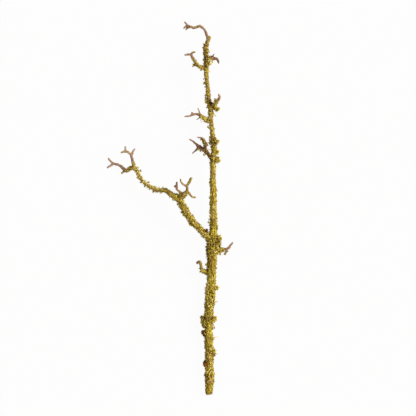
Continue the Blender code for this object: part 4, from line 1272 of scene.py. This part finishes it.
def grow(seats: Seats, habit: Habit, seed: int) -> tuple[Array, Array, dict[str, Array]]:
    """Grow one form of lichen on its seats, as one joined mesh.

    Each shape's x axis is turned to a random heading, most often near the way along the twig, and lifted
    off the bark. Its size follows the seat's, and its tone two soft noises over the twig, the paleness
    and its own chance.

    Args:
        seats: Where it grows.
        habit: How it grows.
        seed: The random seed.

    Returns:
        Vertices, triangles and the attributes tone, rise and blush.
    """
    rng = np.random.default_rng(seed)
    if habit.heads > 1:
        seats = seats.chosen(np.repeat(np.arange(len(seats.size)), habit.heads))
    count = len(seats.size)
    shapes, rise, triangles = SHAPES[habit.form](count, rng)
    around = np.cross(seats.out, seats.along)
    one_each = (count, 1)
    either_way = math.pi * rng.integers(0, 2, size=one_each)
    heading = either_way + rng.normal(0, math.radians(habit.along_deg), size=one_each)
    forward = seats.along * np.cos(heading) + around * np.sin(heading)
    lift = rng.uniform(*habit.lift_deg, size=one_each)
    lift = lift + rng.normal(0, habit.splay_deg, size=one_each) * 0.5
    lift = np.clip(np.radians(lift), 0, math.radians(88))
    x_axis = unit(forward * np.cos(lift) + seats.out * np.sin(lift))
    y_axis = unit(np.cross(seats.out, x_axis) + 1e-9)
    z_axis = np.cross(x_axis, y_axis)
    length = rng.uniform(*habit.length_mm, size=one_each) * MM * seats.size[:, None]
    width = length * rng.uniform(*habit.width_share, size=one_each)
    scale = np.stack([length, width, width if habit.form is Growth.BRANCHLET else length], axis=-1)
    shapes = shapes * scale
    points = seats.point[:, None, :]
    for i, axis in enumerate((x_axis, y_axis, z_axis)):
        points = points + shapes[..., i:i + 1] * axis[:, None, :]
    drift = 0.12 * soft_noise(seats.point, 5 * MM, Noise.BROAD_TONE)
    drift += 0.08 * soft_noise(seats.point, 2.4 * MM, Noise.FINE_TONE)
    drift += 0.22 * seats.pale
    drift += shade_at(seats.point)
    tone = np.clip(habit.tone[0] + habit.tone[1] * rng.normal(size=count) * 0.8 + drift, 0.02, 0.98)
    patchy = np.maximum(0.2, 1 + 1.5 * soft_noise(seats.point, 4.4 * MM, Noise.PATCHES))
    blush = np.where(rng.uniform(size=count) < habit.blush * patchy, rng.uniform(0.45, 1.0, size=count), 0)
    blush = np.maximum(blush, 0.55 * seats.worn * rng.uniform(size=count))
    rise = np.clip(rise + 0.35 * seats.pale[:, None], 0, 1)
    corners = shapes.shape[1]
    triangles = (triangles[None] + (np.arange(count) * corners)[:, None, None]).reshape(-1, 3)
    attributes = {"tone": np.repeat(tone, corners), "rise": rise.ravel(), "blush": np.repeat(blush, corners)}
    return lay_on_table(points.reshape(-1, 3)), triangles, attributes


# The steps of the even spread: 1 over p and 1 over p squared, where p cubed is p plus 1
EVEN_STEPS = (0.7548776662, 0.5698402910)
# How many places a stretch of bark is weighed at, and how many times too many seats are tried there
SOWING_STEPS, OVERSOWN = 400, 1.45


def spread(count: int, rng: np.random.Generator) -> tuple[Array, Array]:
    """Evenly spread pairs of numbers from 0 to 1: steps of two irrational numbers, shaken a little.

    Args:
        count: How many pairs.
        rng: The random source.

    Returns:
        The first and the second numbers.
    """
    i = np.arange(count)
    shake = rng.uniform(-0.5, 0.5, size=(2, count)) * 0.9 / math.sqrt(max(count, 1))
    return (i * EVEN_STEPS[0] + shake[0]) % 1, (i * EVEN_STEPS[1] + shake[1]) % 1


def seats_on_route(route: Route, start: float, end: float, habit: Habit, seed: int,
                   paleness: float = 0.0) -> Seats:
    """Choose seats on a stretch of bark, closest and largest where the crust heaps up, none in a gap.

    They are dealt by the running total, along the stretch, of the radius times the cover: the crust's for
    granules, and the bushiness for the other forms.

    Args:
        route: The route.
        start: Where the stretch starts, in metres.
        end: Where it ends.
        habit: Gives how closely they sit.
        seed: The random seed.
        paleness: Added to the route's own.

    Returns:
        The seats.
    """
    rng = np.random.default_rng(seed)
    line = np.linspace(start, end, SOWING_STEPS)
    stations = route.at(line)
    by_crust = habit.form is Growth.GRANULE
    weight = (stations.crust if by_crust else stations.bush) * stations.reach
    total = np.concatenate([[0], np.cumsum((weight[1:] + weight[:-1]) / 2 * np.diff(line))])
    count = int(total[-1] * FULL_TURN * habit.per_mm2 / MM ** 2 * OVERSOWN)
    along_way, around_way = spread(count, rng)
    distance = np.interp(along_way * total[-1], total, line)
    point, out, heaped, places = route.bark(distance, around_way * FULL_TURN)
    cover = places.crust if by_crust else places.bush
    pale = route.paleness * smooth_step(-places.reach, -3.9 * MM, -2.6 * MM) + paleness
    size = (0.5 + 0.5 * cover) * (0.72 + 0.45 * heaped) * np.clip(places.reach / (4.6 * MM), 0.7, 1)
    seats = Seats(point - out * 0.15 * MM, out, places.along, size, pale, thinness(places.reach))
    above = out[:, 2] > 0
    kept = rng.uniform(size=count) < (0.35 + 0.65 * heaped) * (1 - 0.8 * smooth_at(point, above))
    return seats.chosen(kept & (gap_at(point, above, GAP_MARGIN) < GAP_LIMIT))


def seats_on_mounds(mounds: Array, habit: Habit, seed: int, paleness: float = 0.0) -> Seats:
    """Choose seats on small mounds, most of them on the side that faces away from the twig.

    Args:
        mounds: For each its middle, its way out and its radius.
        habit: Gives how closely they sit.
        seed: The random seed.
        paleness: How pale they are.

    Returns:
        The seats.
    """
    rng = np.random.default_rng(seed)
    radius = mounds[:, 6]
    counts = np.maximum(5, FULL_TURN * (radius / MM) ** 2 * habit.per_mm2).astype(int)
    mound = np.repeat(np.arange(len(mounds)), counts)
    middle, away, size = mounds[mound, :3], mounds[mound, 3:6], radius[mound]
    out = unit(unit(rng.normal(size=(len(mound), 3))) + 0.75 * away)
    along = unit(np.cross(out, ASKEW))
    pale, worn = np.full(len(size), paleness), np.zeros(len(size))
    return Seats(middle + out * 0.3 * size[:, None], out, along, size / (2.8 * MM), pale, worn)


# --- Pieces ----------------------------------------------------------------------


@dataclass
class Workshop:
    """The finishes, and the count of what has been made."""

    lichen: Material = field(init=False)
    bark: Material = field(init=False)
    cut_wood: Material = field(init=False)
    bud: Material = field(init=False)
    triangles: int = 0

    def __post_init__(self) -> None:
        """Make each finish once."""
        self.lichen = LichenFinish().material()
        self.bark = BarkFinish().material()
        self.cut_wood = CutWoodFinish().material()
        self.bud = BudFinish().material()

    def deliver(self, name: str, points: Array, triangles: Array, attributes: dict[str, Array],
                material: Material, nodes: tuple[str, ...] = ()) -> None:
        """Make a piece, let it ride on the twig and report it.

        Args:
            name: The piece's name.
            points: Its vertices.
            triangles: Its triangles.
            attributes: Its vertex numbers by name.
            material: Its finish.
            nodes: The CAD nodes that it stands for.
        """
        piece = make_piece(name, points, triangles, attributes, material)
        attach(piece, BODY)
        if nodes:
            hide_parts(*nodes)
        self.triangles += len(triangles)
        logging.info("%s: %d triangles", name, len(triangles))

    def grow_on(self, name: str, parts: list[tuple[Seats, Habit]], seed: int) -> None:
        """Grow several habits of lichen, one piece for each form.

        Args:
            name: The name of what they grow on.
            parts: The seats of each habit.
            seed: The random seed.
        """
        for form in Growth:
            grown = [grow(seats, habit, seed + i) for i, (seats, habit) in enumerate(parts)
                     if habit.form is form and len(seats.size)]
            if grown:
                points, triangles = joined([(points, triangles) for points, triangles, _ in grown])
                attributes = {
                    key: np.concatenate([numbers[key] for _, _, numbers in grown]) for key in LICHEN_NUMBERS}
                self.deliver(f"{name}_{form.value}s", points, triangles, attributes, self.lichen)


# The radius from which wood is old, how much thinner the youngest is, and how many points go in a block
OLD_WOOD, YOUTH_RANGE, BLOCK = 3.2 * MM, 2.1 * MM, 4000


def bark_attributes(points: Array, routes: list[Route], age: float = 0.0) -> dict[str, Array]:
    """What the bark finish reads at each vertex, from the nearest place on the nearest route.

    Youth grows as the wood thins from old to young. Flow is the place across the route, up from it and
    along it, in metres, for textures that run with the twig. The points go in blocks, to save memory.

    Args:
        points: Bark vertices.
        routes: The routes under them.
        age: Taken off the youth.

    Returns:
        The attributes crust, youth, worn, shade, gap with its painted shade, and flow.
    """
    distances = [route.distance[::COARSE] for route in routes]
    stations = [route.at(distance) for route, distance in zip(routes, distances)]
    middle, reach, cover, bush, along, across, up = (
        np.concatenate([getattr(part, name) for part in stations])
        for name in ("middle", "reach", "crust", "bush", "along", "across", "up"))
    nearest = np.concatenate([
        np.argmin(((block[:, None, :] - middle[None]) ** 2).sum(axis=-1) - reach[None] ** 2, axis=1)
        for block in np.array_split(points, max(1, len(points) // BLOCK))])
    youth = np.clip((OLD_WOOD - reach[nearest]) / YOUTH_RANGE, 0, 1) - age
    crust = cover[nearest]
    above = points[:, 2] > middle[nearest, 2]
    # Painted shade: near-black in the hollows where crust covers, and a little darkening over bark under
    # bushy lichen
    gap = np.maximum(gap_at(points, above) * smooth_step(crust, 0.2, 0.6), 0.12 * bush[nearest])
    gap = gap * (1 - 0.8 * smooth_at(points, above))
    offset = points - middle[nearest]
    aside, over, onward = ((offset * frame_way[nearest]).sum(axis=1) for frame_way in (across, up, along))
    flow = np.stack([aside, over, np.concatenate(distances)[nearest] + onward], axis=1)
    patchy = 0.4 * smooth_step(soft_noise(points, 4.4 * MM, Noise.PATCHES), 0.4, 1.4)
    worn = np.maximum(thinness(reach[nearest]) * (1 - max(age, 0)), patchy)
    return {"crust": crust, "youth": youth, "worn": worn,
            "shade": 0.15 * youth + shade_at(points), "gap": gap, "flow": flow}


@dataclass
class TwigLength:
    """A length of stem or branch: a bark tube with lichen on it.

    Start and end are metres along the route, step and sides set how fine the tube is, paleness is added
    to the route's own, and the tuft habits are what its tufts are made of.
    """

    node: str
    route: Route
    start: float
    end: float
    slot: str
    seed: int
    step: float = 0.5 * MM
    sides: int = 56
    paleness: float = 0.0
    tuft_habits: tuple[Habit, Habit] = (TUFTY, BRISTLY)

    def build(self, shop: Workshop) -> None:
        """Make the bark and its lichen.

        Args:
            shop: The workshop.
        """
        points, triangles = tube(self.route, self.start, self.end, self.step, self.sides, False, False)
        points = lay_on_table(points)
        attributes = bark_attributes(points, [self.route])
        shop.deliver(f"{self.node}_bark", points, triangles, attributes, shop.bark, (self.node,))
        parts = [
            (seats_on_route(self.route, self.start, self.end, habit, self.seed + i, self.paleness), habit)
            for i, habit in enumerate(ON_BARK)]
        mounds = self.route.mounds(self.start, self.end)
        parts += [(seats_on_mounds(mounds, habit, self.seed + 5 + i, self.paleness), habit)
                  for i, habit in enumerate(self.tuft_habits)]
        shop.grow_on(self.node, parts, self.seed)


@dataclass
class Spur:
    """A spur and its prongs, fused into one skin, with lichen where it is covered.

    Start is metres along the main route, age makes its bark browner, paleness its lichen paler, and
    voxel, step and sides set how fine the skin is.
    """

    node: str
    main: tuple[Point, ...]
    prongs: tuple[tuple[Point, ...], ...]
    slot: str
    seed: int
    start: float = 0.0
    age: float = 0.0
    paleness: float = 0.0
    voxel: float = 0.36 * MM
    step: float = 0.5 * MM
    sides: int = 20

    def build(self, shop: Workshop) -> None:
        """Make the fused bark and its lichen.

        Args:
            shop: The workshop.
        """
        routes = [Route(points, crust_depth=0.5 * MM, paleness=0.6) for points in (self.main,) + self.prongs]
        starts = [self.start] + [0.0] * len(self.prongs)
        parts = [tube(route, start, route.length, self.step, self.sides, True, True)
                 for route, start in zip(routes, starts)]
        points, triangles = fuse(self.node, parts, self.voxel) if self.prongs else parts[0]
        points = lay_on_table(points)
        attributes = bark_attributes(points, routes, self.age)
        shop.deliver(f"{self.node}_bark", points, triangles, attributes, shop.bark, (self.node,))
        grown = [
            (seats_on_route(route, start, route.length, habit, self.seed + i + 10 * k, self.paleness), habit)
            for i, habit in enumerate(ON_BARK) for k, (route, start) in enumerate(zip(routes, starts))]
        shop.grow_on(self.node, grown, self.seed)


@dataclass
class Cushion:
    """A cushion of lichen: a lumpy core with lobes, branchlets and granules standing out of it.

    Middle and half size are in millimetres, and core share is how much of that the core fills. Lean makes
    it widest towards its upper end, bristles is its share of branchlets, and coarseness scales all that
    stands on it.
    """

    node: str
    middle: tuple[float, float, float]
    half_size: tuple[float, float, float]
    seed: int
    core_share: float = 0.62
    lean: float = 0.0
    bristles: float = 0.7
    coarseness: float = 1.0
    rings: int = 30
    sides: int = 44

    def surface(self, turn: Array, angle: Array) -> tuple[Array, Array]:
        """Points on the core: an ellipsoid with lumps and creases.

        Args:
            turn: Radians from the pole at the top.
            angle: Radians round it.

        Returns:
            The points and the directions out.
        """
        half = np.array(self.half_size) * MM
        ball = np.stack([np.sin(turn) * np.cos(angle), np.sin(turn) * np.sin(angle), np.cos(turn)], axis=-1)
        out = unit(ball / half)
        ball[:, [0, 2]] *= 1 + self.lean * ball[:, 1:2]
        points = np.array(self.middle) * MM + ball * half * self.core_share
        crease = np.exp(-np.abs(soft_noise(points, 4.5 * MM, Noise.CREASES)) / 0.25)
        lump = 0.5 * soft_noise(points, 4.5 * MM, self.seed) - 0.9 * crease
        return points + out * (0.8 * MM * lump)[:, None], out

    def build(self, shop: Workshop, inside: list[Route]) -> None:
        """Make the core and what stands out of it.

        Args:
            shop: The workshop.
            inside: The routes that run through the cushion, where nothing is seated.
        """
        turn = np.linspace(0, math.pi, self.rings + 2)[1:-1]
        points, _ = self.surface(np.repeat(turn, self.sides), np.tile(turned(self.sides), self.rings))
        poles, _ = self.surface(np.array([0.0, math.pi]), np.zeros(2))
        points = lay_on_table(np.concatenate([poles[:1], points, poles[1:]]))
        triangles = facing_out(points, stacked_triangles(self.rings, self.sides))
        tone = np.clip(0.25 + 0.15 * soft_noise(points, 2.5 * MM, self.seed + 1), 0, 1)
        # The core keeps much of the root colour, painted shade under its lobes, and all of it in the hollows,
        # also painted shade
        rise = 0.3 * (1 - gap_at(points, points[:, 2] > self.middle[2] * MM))
        attributes = {"tone": tone, "rise": rise, "blush": np.zeros(len(points))}
        shop.deliver(f"{self.node}_core", points, triangles, attributes, shop.lichen, (self.node,))
        parts = [(self.seats(habit, share, self.seed + i, inside), habit)
                 for i, (habit, share) in enumerate(((TUFTY, 0.6), (BRISTLY, self.bristles), (GRAINY, 0.8)))]
        shop.grow_on(self.node, parts, self.seed)

    def seats(self, habit: Habit, share: float, seed: int, inside: list[Route]) -> Seats:
        """Seats all over the core, except inside the twig, in gaps and in smooth patches.

        The core's area is an ellipsoid's by the mean of its half sizes' products to the power 1.6.

        Args:
            habit: Gives how closely they sit.
            share: Which share of that.
            seed: The random seed.
            inside: The routes through the cushion.

        Returns:
            The seats.
        """
        a, b, c = (size * self.core_share for size in self.half_size)
        power = 1.6
        area = 4 * math.pi * (((a * b) ** power + (a * c) ** power + (b * c) ** power) / 3) ** (1 / power)
        along_way, around_way = spread(int(area * habit.per_mm2 * share), np.random.default_rng(seed))
        point, out = self.surface(np.arccos(1 - 2 * along_way), around_way * FULL_TURN)
        along = unit(np.cross(out, ASKEW))
        size = self.coarseness * (0.85 + 0.35 * np.clip(soft_noise(point, 4 * MM, seed + 3), -1, 1.3))
        seats = Seats(point, out, along, size, *np.zeros((2, len(size))))
        rows = np.concatenate([route.rows[::COARSE] for route in inside])
        away = np.linalg.norm(point[:, None, :] - rows[None, :, :3], axis=-1)
        clear = (away > rows[None, :, 3] - 0.9 * MM).all(axis=1)
        above = out[:, 2] > 0
        no_gap = gap_at(point, above, GAP_MARGIN) < GAP_LIMIT
        return seats.chosen(clear & no_gap & (smooth_at(point, above) < 0.5))


@dataclass
class LooseTufts:
    """The small clumps that stand by themselves on the twig, and the spikes and strands beside it."""

    routes: list[Route]
    seed: int = 1200
    sides: int = 8

    def build(self, shop: Workshop) -> None:
        """Make the clumps and the strands.

        Args:
            shop: The workshop.
        """
        clumps = (YELLOW_CLUMPS, PINK_CLUMPS, OLIVE_CLUMPS, DARK_AND_SHADE_CLUMPS)
        yellow, pink, olive, dark = (mounds_at(places, self.routes) for places in clumps)
        chosen = ((yellow, SUNLIT), (yellow, BRISTLY), (pink, PINKISH), (olive, TUFTY), (olive, BRISTLY),
                  (dark, DARK), (dark, DUSKY))
        parts = [(seats_on_mounds(mounds, habit, self.seed + i), habit)
                 for i, (mounds, habit) in enumerate(chosen)]
        shop.grow_on("loose_tufts", parts, self.seed)
        strands = [Route(tuple((*place, radius, 0, 0) for place in places)) for places, radius in STRANDS]
        tubes = [tube(strand, 0.0, strand.length, 0.6 * MM, self.sides, False, True) for strand in strands]
        points, triangles = joined(tubes)
        tone = np.clip(0.5 + 0.25 * soft_noise(points, 5 * MM, self.seed), 0, 1)
        attributes = {"tone": tone, "rise": np.full(len(points), 0.8), "blush": np.full(len(points), 0.15)}
        shop.deliver("strands", lay_on_table(points), triangles, attributes, shop.lichen)


@dataclass
class CutEnd:
    """The sawn end of the twig: a shallow disc with growth rings that stands just proud of the bark.

    Its sizes are in millimetres.
    """

    middle: tuple[float, float, float] = (53.0, -251.6, 5.8)
    radius: float = 2.6
    depth: float = 1.2
    rings: int = 10
    sides: int = 40

    def build(self, shop: Workshop) -> None:
        """Make the disc: rings out from the middle, over a rounded rim, and back behind it.

        The face is waved along its axis by a sine, and the rim wavers by two sines round it.

        Args:
            shop: The workshop.
        """
        across, along, up = self.middle
        share = np.concatenate([np.linspace(0.12, 1.0, self.rings), [1.03, 1.0, 0.6]])
        face = 0.04 * np.sin(np.linspace(0, 9, self.rings)) - 0.12
        back = np.concatenate([face, [0.25, 0.8, 1.0]]) * self.depth
        angle = turned(self.sides)
        wobble = 1 + 0.03 * np.sin(3 * angle + 1) + 0.02 * np.sin(5 * angle)
        x = across + self.radius * share[:, None] * np.cos(angle) * wobble
        z = up + self.radius * share[:, None] * np.sin(angle) * wobble
        y = np.broadcast_to(along + back[:, None], x.shape)
        points = np.stack([x, y, z], axis=-1).reshape(-1, 3)
        poles = np.array([[across, along - 0.1 * self.depth, up], [across, along + self.depth, up]])
        points = np.concatenate([poles[:1], points, poles[1:]]) * MM
        triangles = facing_out(points, stacked_triangles(len(share), self.sides))
        shop.deliver("cut_end", points, triangles, {}, shop.cut_wood)


@dataclass
class Bud:
    """The long brown bud near the butt: overlapping scales swept round a ball, sizes in millimetres."""

    node: str = "brown_bud"
    middle: tuple[float, float, float] = (47.4, -209.9, 8.0)
    half_size: tuple[float, float, float] = (3.4, 5.0, 3.2)
    rings: int = 40
    sides: int = 36

    def build(self, shop: Workshop) -> None:
        """Make the bud: an ellipsoid whose radius steps in saw teeth, one for each row of scales.

        Args:
            shop: The workshop.
        """
        turn = np.repeat(np.linspace(0, math.pi, self.rings + 2)[1:-1], self.sides)
        angle = np.tile(turned(self.sides), self.rings)
        scales = (turn * 1.3 + 0.3 * np.cos(2 * angle)) % 1.0
        ball = np.stack([np.sin(turn) * np.cos(angle), -np.cos(turn), np.sin(turn) * np.sin(angle)], axis=-1)
        half = np.array(self.half_size) * MM
        middle = np.array(self.middle) * MM
        points = middle + ball * half * (0.92 + 0.1 * scales)[:, None]
        poles = middle + np.array([[0, -1.0, 0], [0, 1.0, 0]]) * half
        points = np.concatenate([poles[:1], points, poles[1:]])
        triangles = facing_out(points, stacked_triangles(self.rings, self.sides))
        shop.deliver(f"{self.node}_scales", points, triangles, {}, shop.bud, (self.node,))


@dataclass
class Studio:
    """The pale table, the soft light and the camera that looks straight down.

    Albedo, glow and pale make the table and the room near white to the camera. The frame is pixels times
    the pixel width wide at the reference height.
    """

    camera_x: float = 51.07 * MM
    camera_height: float = 2.2
    reference_height: float = 15 * MM
    pixels: int = 416
    pixel_width: float = 1.344 * MM
    lens_mm: float = 140.0
    table_half: float = 3.0
    table_albedo: float = 0.02
    table_glow: float = 0.958
    pale: float = 0.982
    room_light: tuple[float, float, float] = (0.5, 0.46, 0.4)
    key_way: tuple[float, float, float] = (0.84, 0.2, 0.58)
    key_strength: float = 4.5
    key_softness_deg: float = 30.0
    fill_way: tuple[float, float, float] = (-0.45, -0.35, 0.8)
    fill_strength: float = 0.3
    fill_softness_deg: float = 70.0

    def build(self) -> None:
        """Set the table, the lights, the world and the camera."""
        self.lay_table()
        self.light("key", self.key_way, self.key_strength, self.key_softness_deg)
        self.light("fill", self.fill_way, self.fill_strength, self.fill_softness_deg)
        self.light_room()
        bpy.context.scene.view_settings.view_transform = "Standard"
        self.place_camera()

    def lay_table(self) -> None:
        """A level sheet under the twig, matt, near white and lit from inside as a light table is.

        The twig is lit by the lamps and the room alone: the sheet's own glow doesn't reach it.
        """
        half = self.table_half
        corners = np.array([[-half, -half, 0.0], [half, -half, 0.0], [half, half, 0.0], [-half, half, 0.0]])
        material, _, surface = new_material("matt_light_table", roughness=1.0, specular=0.0)
        surface.inputs["Base Color"].default_value = (self.table_albedo,) * 3 + (1.0,)
        surface.inputs["Emission Color"].default_value = (1.0, 1.0, 1.0, 1.0)
        surface.inputs["Emission Strength"].default_value = self.table_glow
        table = make_piece("table", corners, np.array([[0, 1, 2], [0, 2, 3]]), {}, material)
        table.visible_diffuse = False

    def light_room(self) -> None:
        """A dim, even, slightly warm room that looks as pale as the table where the camera sees it."""
        world = bpy.data.worlds.new("soft_room")
        world.use_nodes = True
        tree = world.node_tree
        path = add_node(tree, "LightPath")
        seen, cast = (self.pale,) * 3 + (1.0,), (*self.room_light, 1.0)
        colour = blend(tree, path.outputs["Is Camera Ray"], cast, seen)
        tree.links.new(colour, tree.nodes["Background"].inputs["Color"])
        bpy.context.scene.world = world

    def light(self, name: str, towards: tuple[float, float, float], strength: float,
              softness_deg: float) -> None:
        """Shine a broad, even light from one side.

        Args:
            name: The light's name.
            towards: The way from the twig to the light.
            strength: Its strength square to its rays.
            softness_deg: How wide it looks from the twig.
        """
        lamp = bpy.data.lights.new(name, "SUN")
        lamp.energy = strength
        lamp.angle = math.radians(softness_deg)
        holder = bpy.data.objects.new(name, lamp)
        bpy.context.collection.objects.link(holder)
        holder.rotation_euler = Vector(towards).to_track_quat("Z", "Y").to_euler()

    def place_camera(self) -> None:
        """Hang the camera over the twig, its top edge towards the twig's top end.

        The sensor's width over the lens is the frame's width over the distance.
        """
        camera = bpy.data.cameras.new("camera")
        distance = self.camera_height - self.reference_height
        camera.lens = self.lens_mm
        camera.sensor_width = self.lens_mm * (self.pixels * self.pixel_width) / distance
        holder = bpy.data.objects.new("camera", camera)
        bpy.context.collection.objects.link(holder)
        holder.location = (self.camera_x, 0.0, self.camera_height)
        bpy.context.scene.camera = holder


@dataclass
class LichenTwig:
    """The whole twig: stem, side branch, spurs, cushions, loose tufts, bud and cut end."""

    stem: Route = field(default_factory=lambda: Route(STEM, STEM_TUFTS))
    side: Route = field(default_factory=lambda: Route(SIDE_BRANCH, SIDE_TUFTS, 0.9 * MM, 0.26, 0.6, 0.5))

    def lengths(self) -> list[TwigLength]:
        """The lengths of stem and side branch between the forks.

        Returns:
            The lengths.
        """
        low, middle, upper, top = STEM_FORKS
        elbow, end = SIDE_FORKS
        return [
            TwigLength("stem_lower", self.stem, 0.0, low, "crusted_bark", 100),
            TwigLength("stem_middle", self.stem, low, middle, "crusted_bark", 200),
            TwigLength("stem_upper", self.stem, middle, upper, "crusted_bark", 300, sides=40,
                       tuft_habits=(SPARSE, THORNY)),
            TwigLength("stem_top", self.stem, upper, top, "crusted_bark", 400, sides=40, paleness=-0.15),
            TwigLength("side_branch_lower", self.side, 0.0, elbow, "crusted_bark", 500, sides=48),
            TwigLength("side_branch_upper", self.side, elbow, end, "thin_crust_bark", 600, sides=36,
                       paleness=0.4, tuft_habits=(SPARSE, THORNY)),
        ]

    def spurs(self) -> list[Spur]:
        """The leader, the twiglets and the spurs.

        Returns:
            The spurs.
        """
        bare, thin = "bare_twig_bark", "thin_crust_bark"
        overlap = 2 * MM
        return [
            Spur("bent_leader", STEM, (STEM_STUB, LEADER_LOW_PRONG, LEADER_MID_PRONG), bare, 700,
                 STEM_FORKS[-1] - overlap),
            Spur("branch_tip_left", SIDE_BRANCH, (LEFT_TIP_PRONG, LEFT_TIP_STUB), bare, 720,
                 SIDE_FORKS[-1] - overlap, age=-0.2),
            Spur("branch_tip_up", TIP_UP, (TIP_UP_RIGHT_PRONG, TIP_UP_MID_PRONG), bare, 740),
            Spur("antler_spur", ANTLER,
                 (ANTLER_LEFT_PRONG, ANTLER_LEFT_BUMP, ANTLER_MID_PRONG, ANTLER_LOW_PRONG), bare, 760,
                 age=0.25),
            Spur("crotch_bud", CROTCH_BUD, (), thin, 780, age=0.6),
            Spur("hook_spur", HOOK, (), thin, 800, age=0.5, paleness=-0.2),
            Spur("right_spur", RIGHT, (), bare, 820, age=0.28),
            Spur("forked_spur", FORKED, (FORKED_LOW_PRONG, FORKED_UP_PRONG), bare, 840, age=0.19),
            Spur("left_spur", LEFT, (LEFT_UP_PRONG, LEFT_LOW_PRONG, LEFT_BUMP), bare, 860, age=0.2,
                 paleness=-0.4),
            Spur("upper_right_spur", UPPER_RIGHT, (UPPER_RIGHT_STUB,), thin, 880, paleness=0.3),
            Spur("top_left_spur", TOP_LEFT, (TOP_LEFT_UP_PRONG, TOP_LEFT_LOW_PRONG), thin, 900, age=0.18),
            Spur("top_right_spur", TOP_RIGHT, (TOP_RIGHT_PRONG,), bare, 920, age=0.35),
        ]

    def cushions(self) -> list[Cushion]:
        """The cushions of lichen that stand off the bark.

        Returns:
            The cushions.
        """
        return [
            Cushion("lichen_collar", (51.8, -150.6, 8.4), (10.2, 7.0, 9.6), 1000, core_share=0.72, lean=0.35),
            Cushion("lichen_low_left", (47.2, -168.0, 8.6), (4.6, 5.2, 4.0), 1010, core_share=0.55),
            Cushion("lichen_low_right", (58.2, -194.2, 8.8), (4.2, 5.0, 4.0), 1020, core_share=0.72,
                    bristles=0.3, coarseness=0.8),
            Cushion("lichen_mid_right", (61.7, -107.4, 11.4), (4.4, 4.0, 4.2), 1030, core_share=0.72,
                    bristles=0.1, coarseness=0.68),
            Cushion("lichen_fork_mass", (64.0, -45.0, 14.6), (4.6, 10.6, 4.6), 1040, core_share=0.7),
            Cushion("lichen_fork_right", (61.9, 64.5, 18.2), (5.0, 4.6, 4.2), 1050, core_share=0.58),
            Cushion("lichen_upper", (58.9, 88.2, 21.0), (7.0, 4.6, 5.2), 1060),
            Cushion("lichen_spur_right", (61.2, 132.8, 22.0), (5.4, 4.4, 4.2), 1070, core_share=0.58),
            Cushion("lichen_top_fork", (50.4, 194.8, 23.4), (5.0, 5.4, 3.6), 1080, core_share=0.58),
        ]

    def build(self, shop: Workshop) -> None:
        """Make every piece of the twig.

        Args:
            shop: The workshop.
        """
        for length in self.lengths():
            length.build(shop)
        spurs = self.spurs()
        for spur in spurs:
            spur.build(shop)
        for cushion in self.cushions():
            cushion.build(shop, [self.stem])
        side_spurs = spurs[2:]
        LooseTufts([self.stem, self.side] + [Route(spur.main) for spur in side_spurs]).build(shop)
        Bud().build(shop)
        CutEnd().build(shop)


def save_sizes() -> None:
    """Bring the view layer up to date."""
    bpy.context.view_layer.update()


def main() -> None:
    """Build the twig and the studio, in order."""
    logging.basicConfig(level=logging.INFO, format="%(message)s")
    shop = Workshop()
    LichenTwig().build(shop)
    Studio().build()
    logging.info("the twig has %d triangles", shop.triangles)
    save_sizes()


if __name__ == "__main__":
    main()
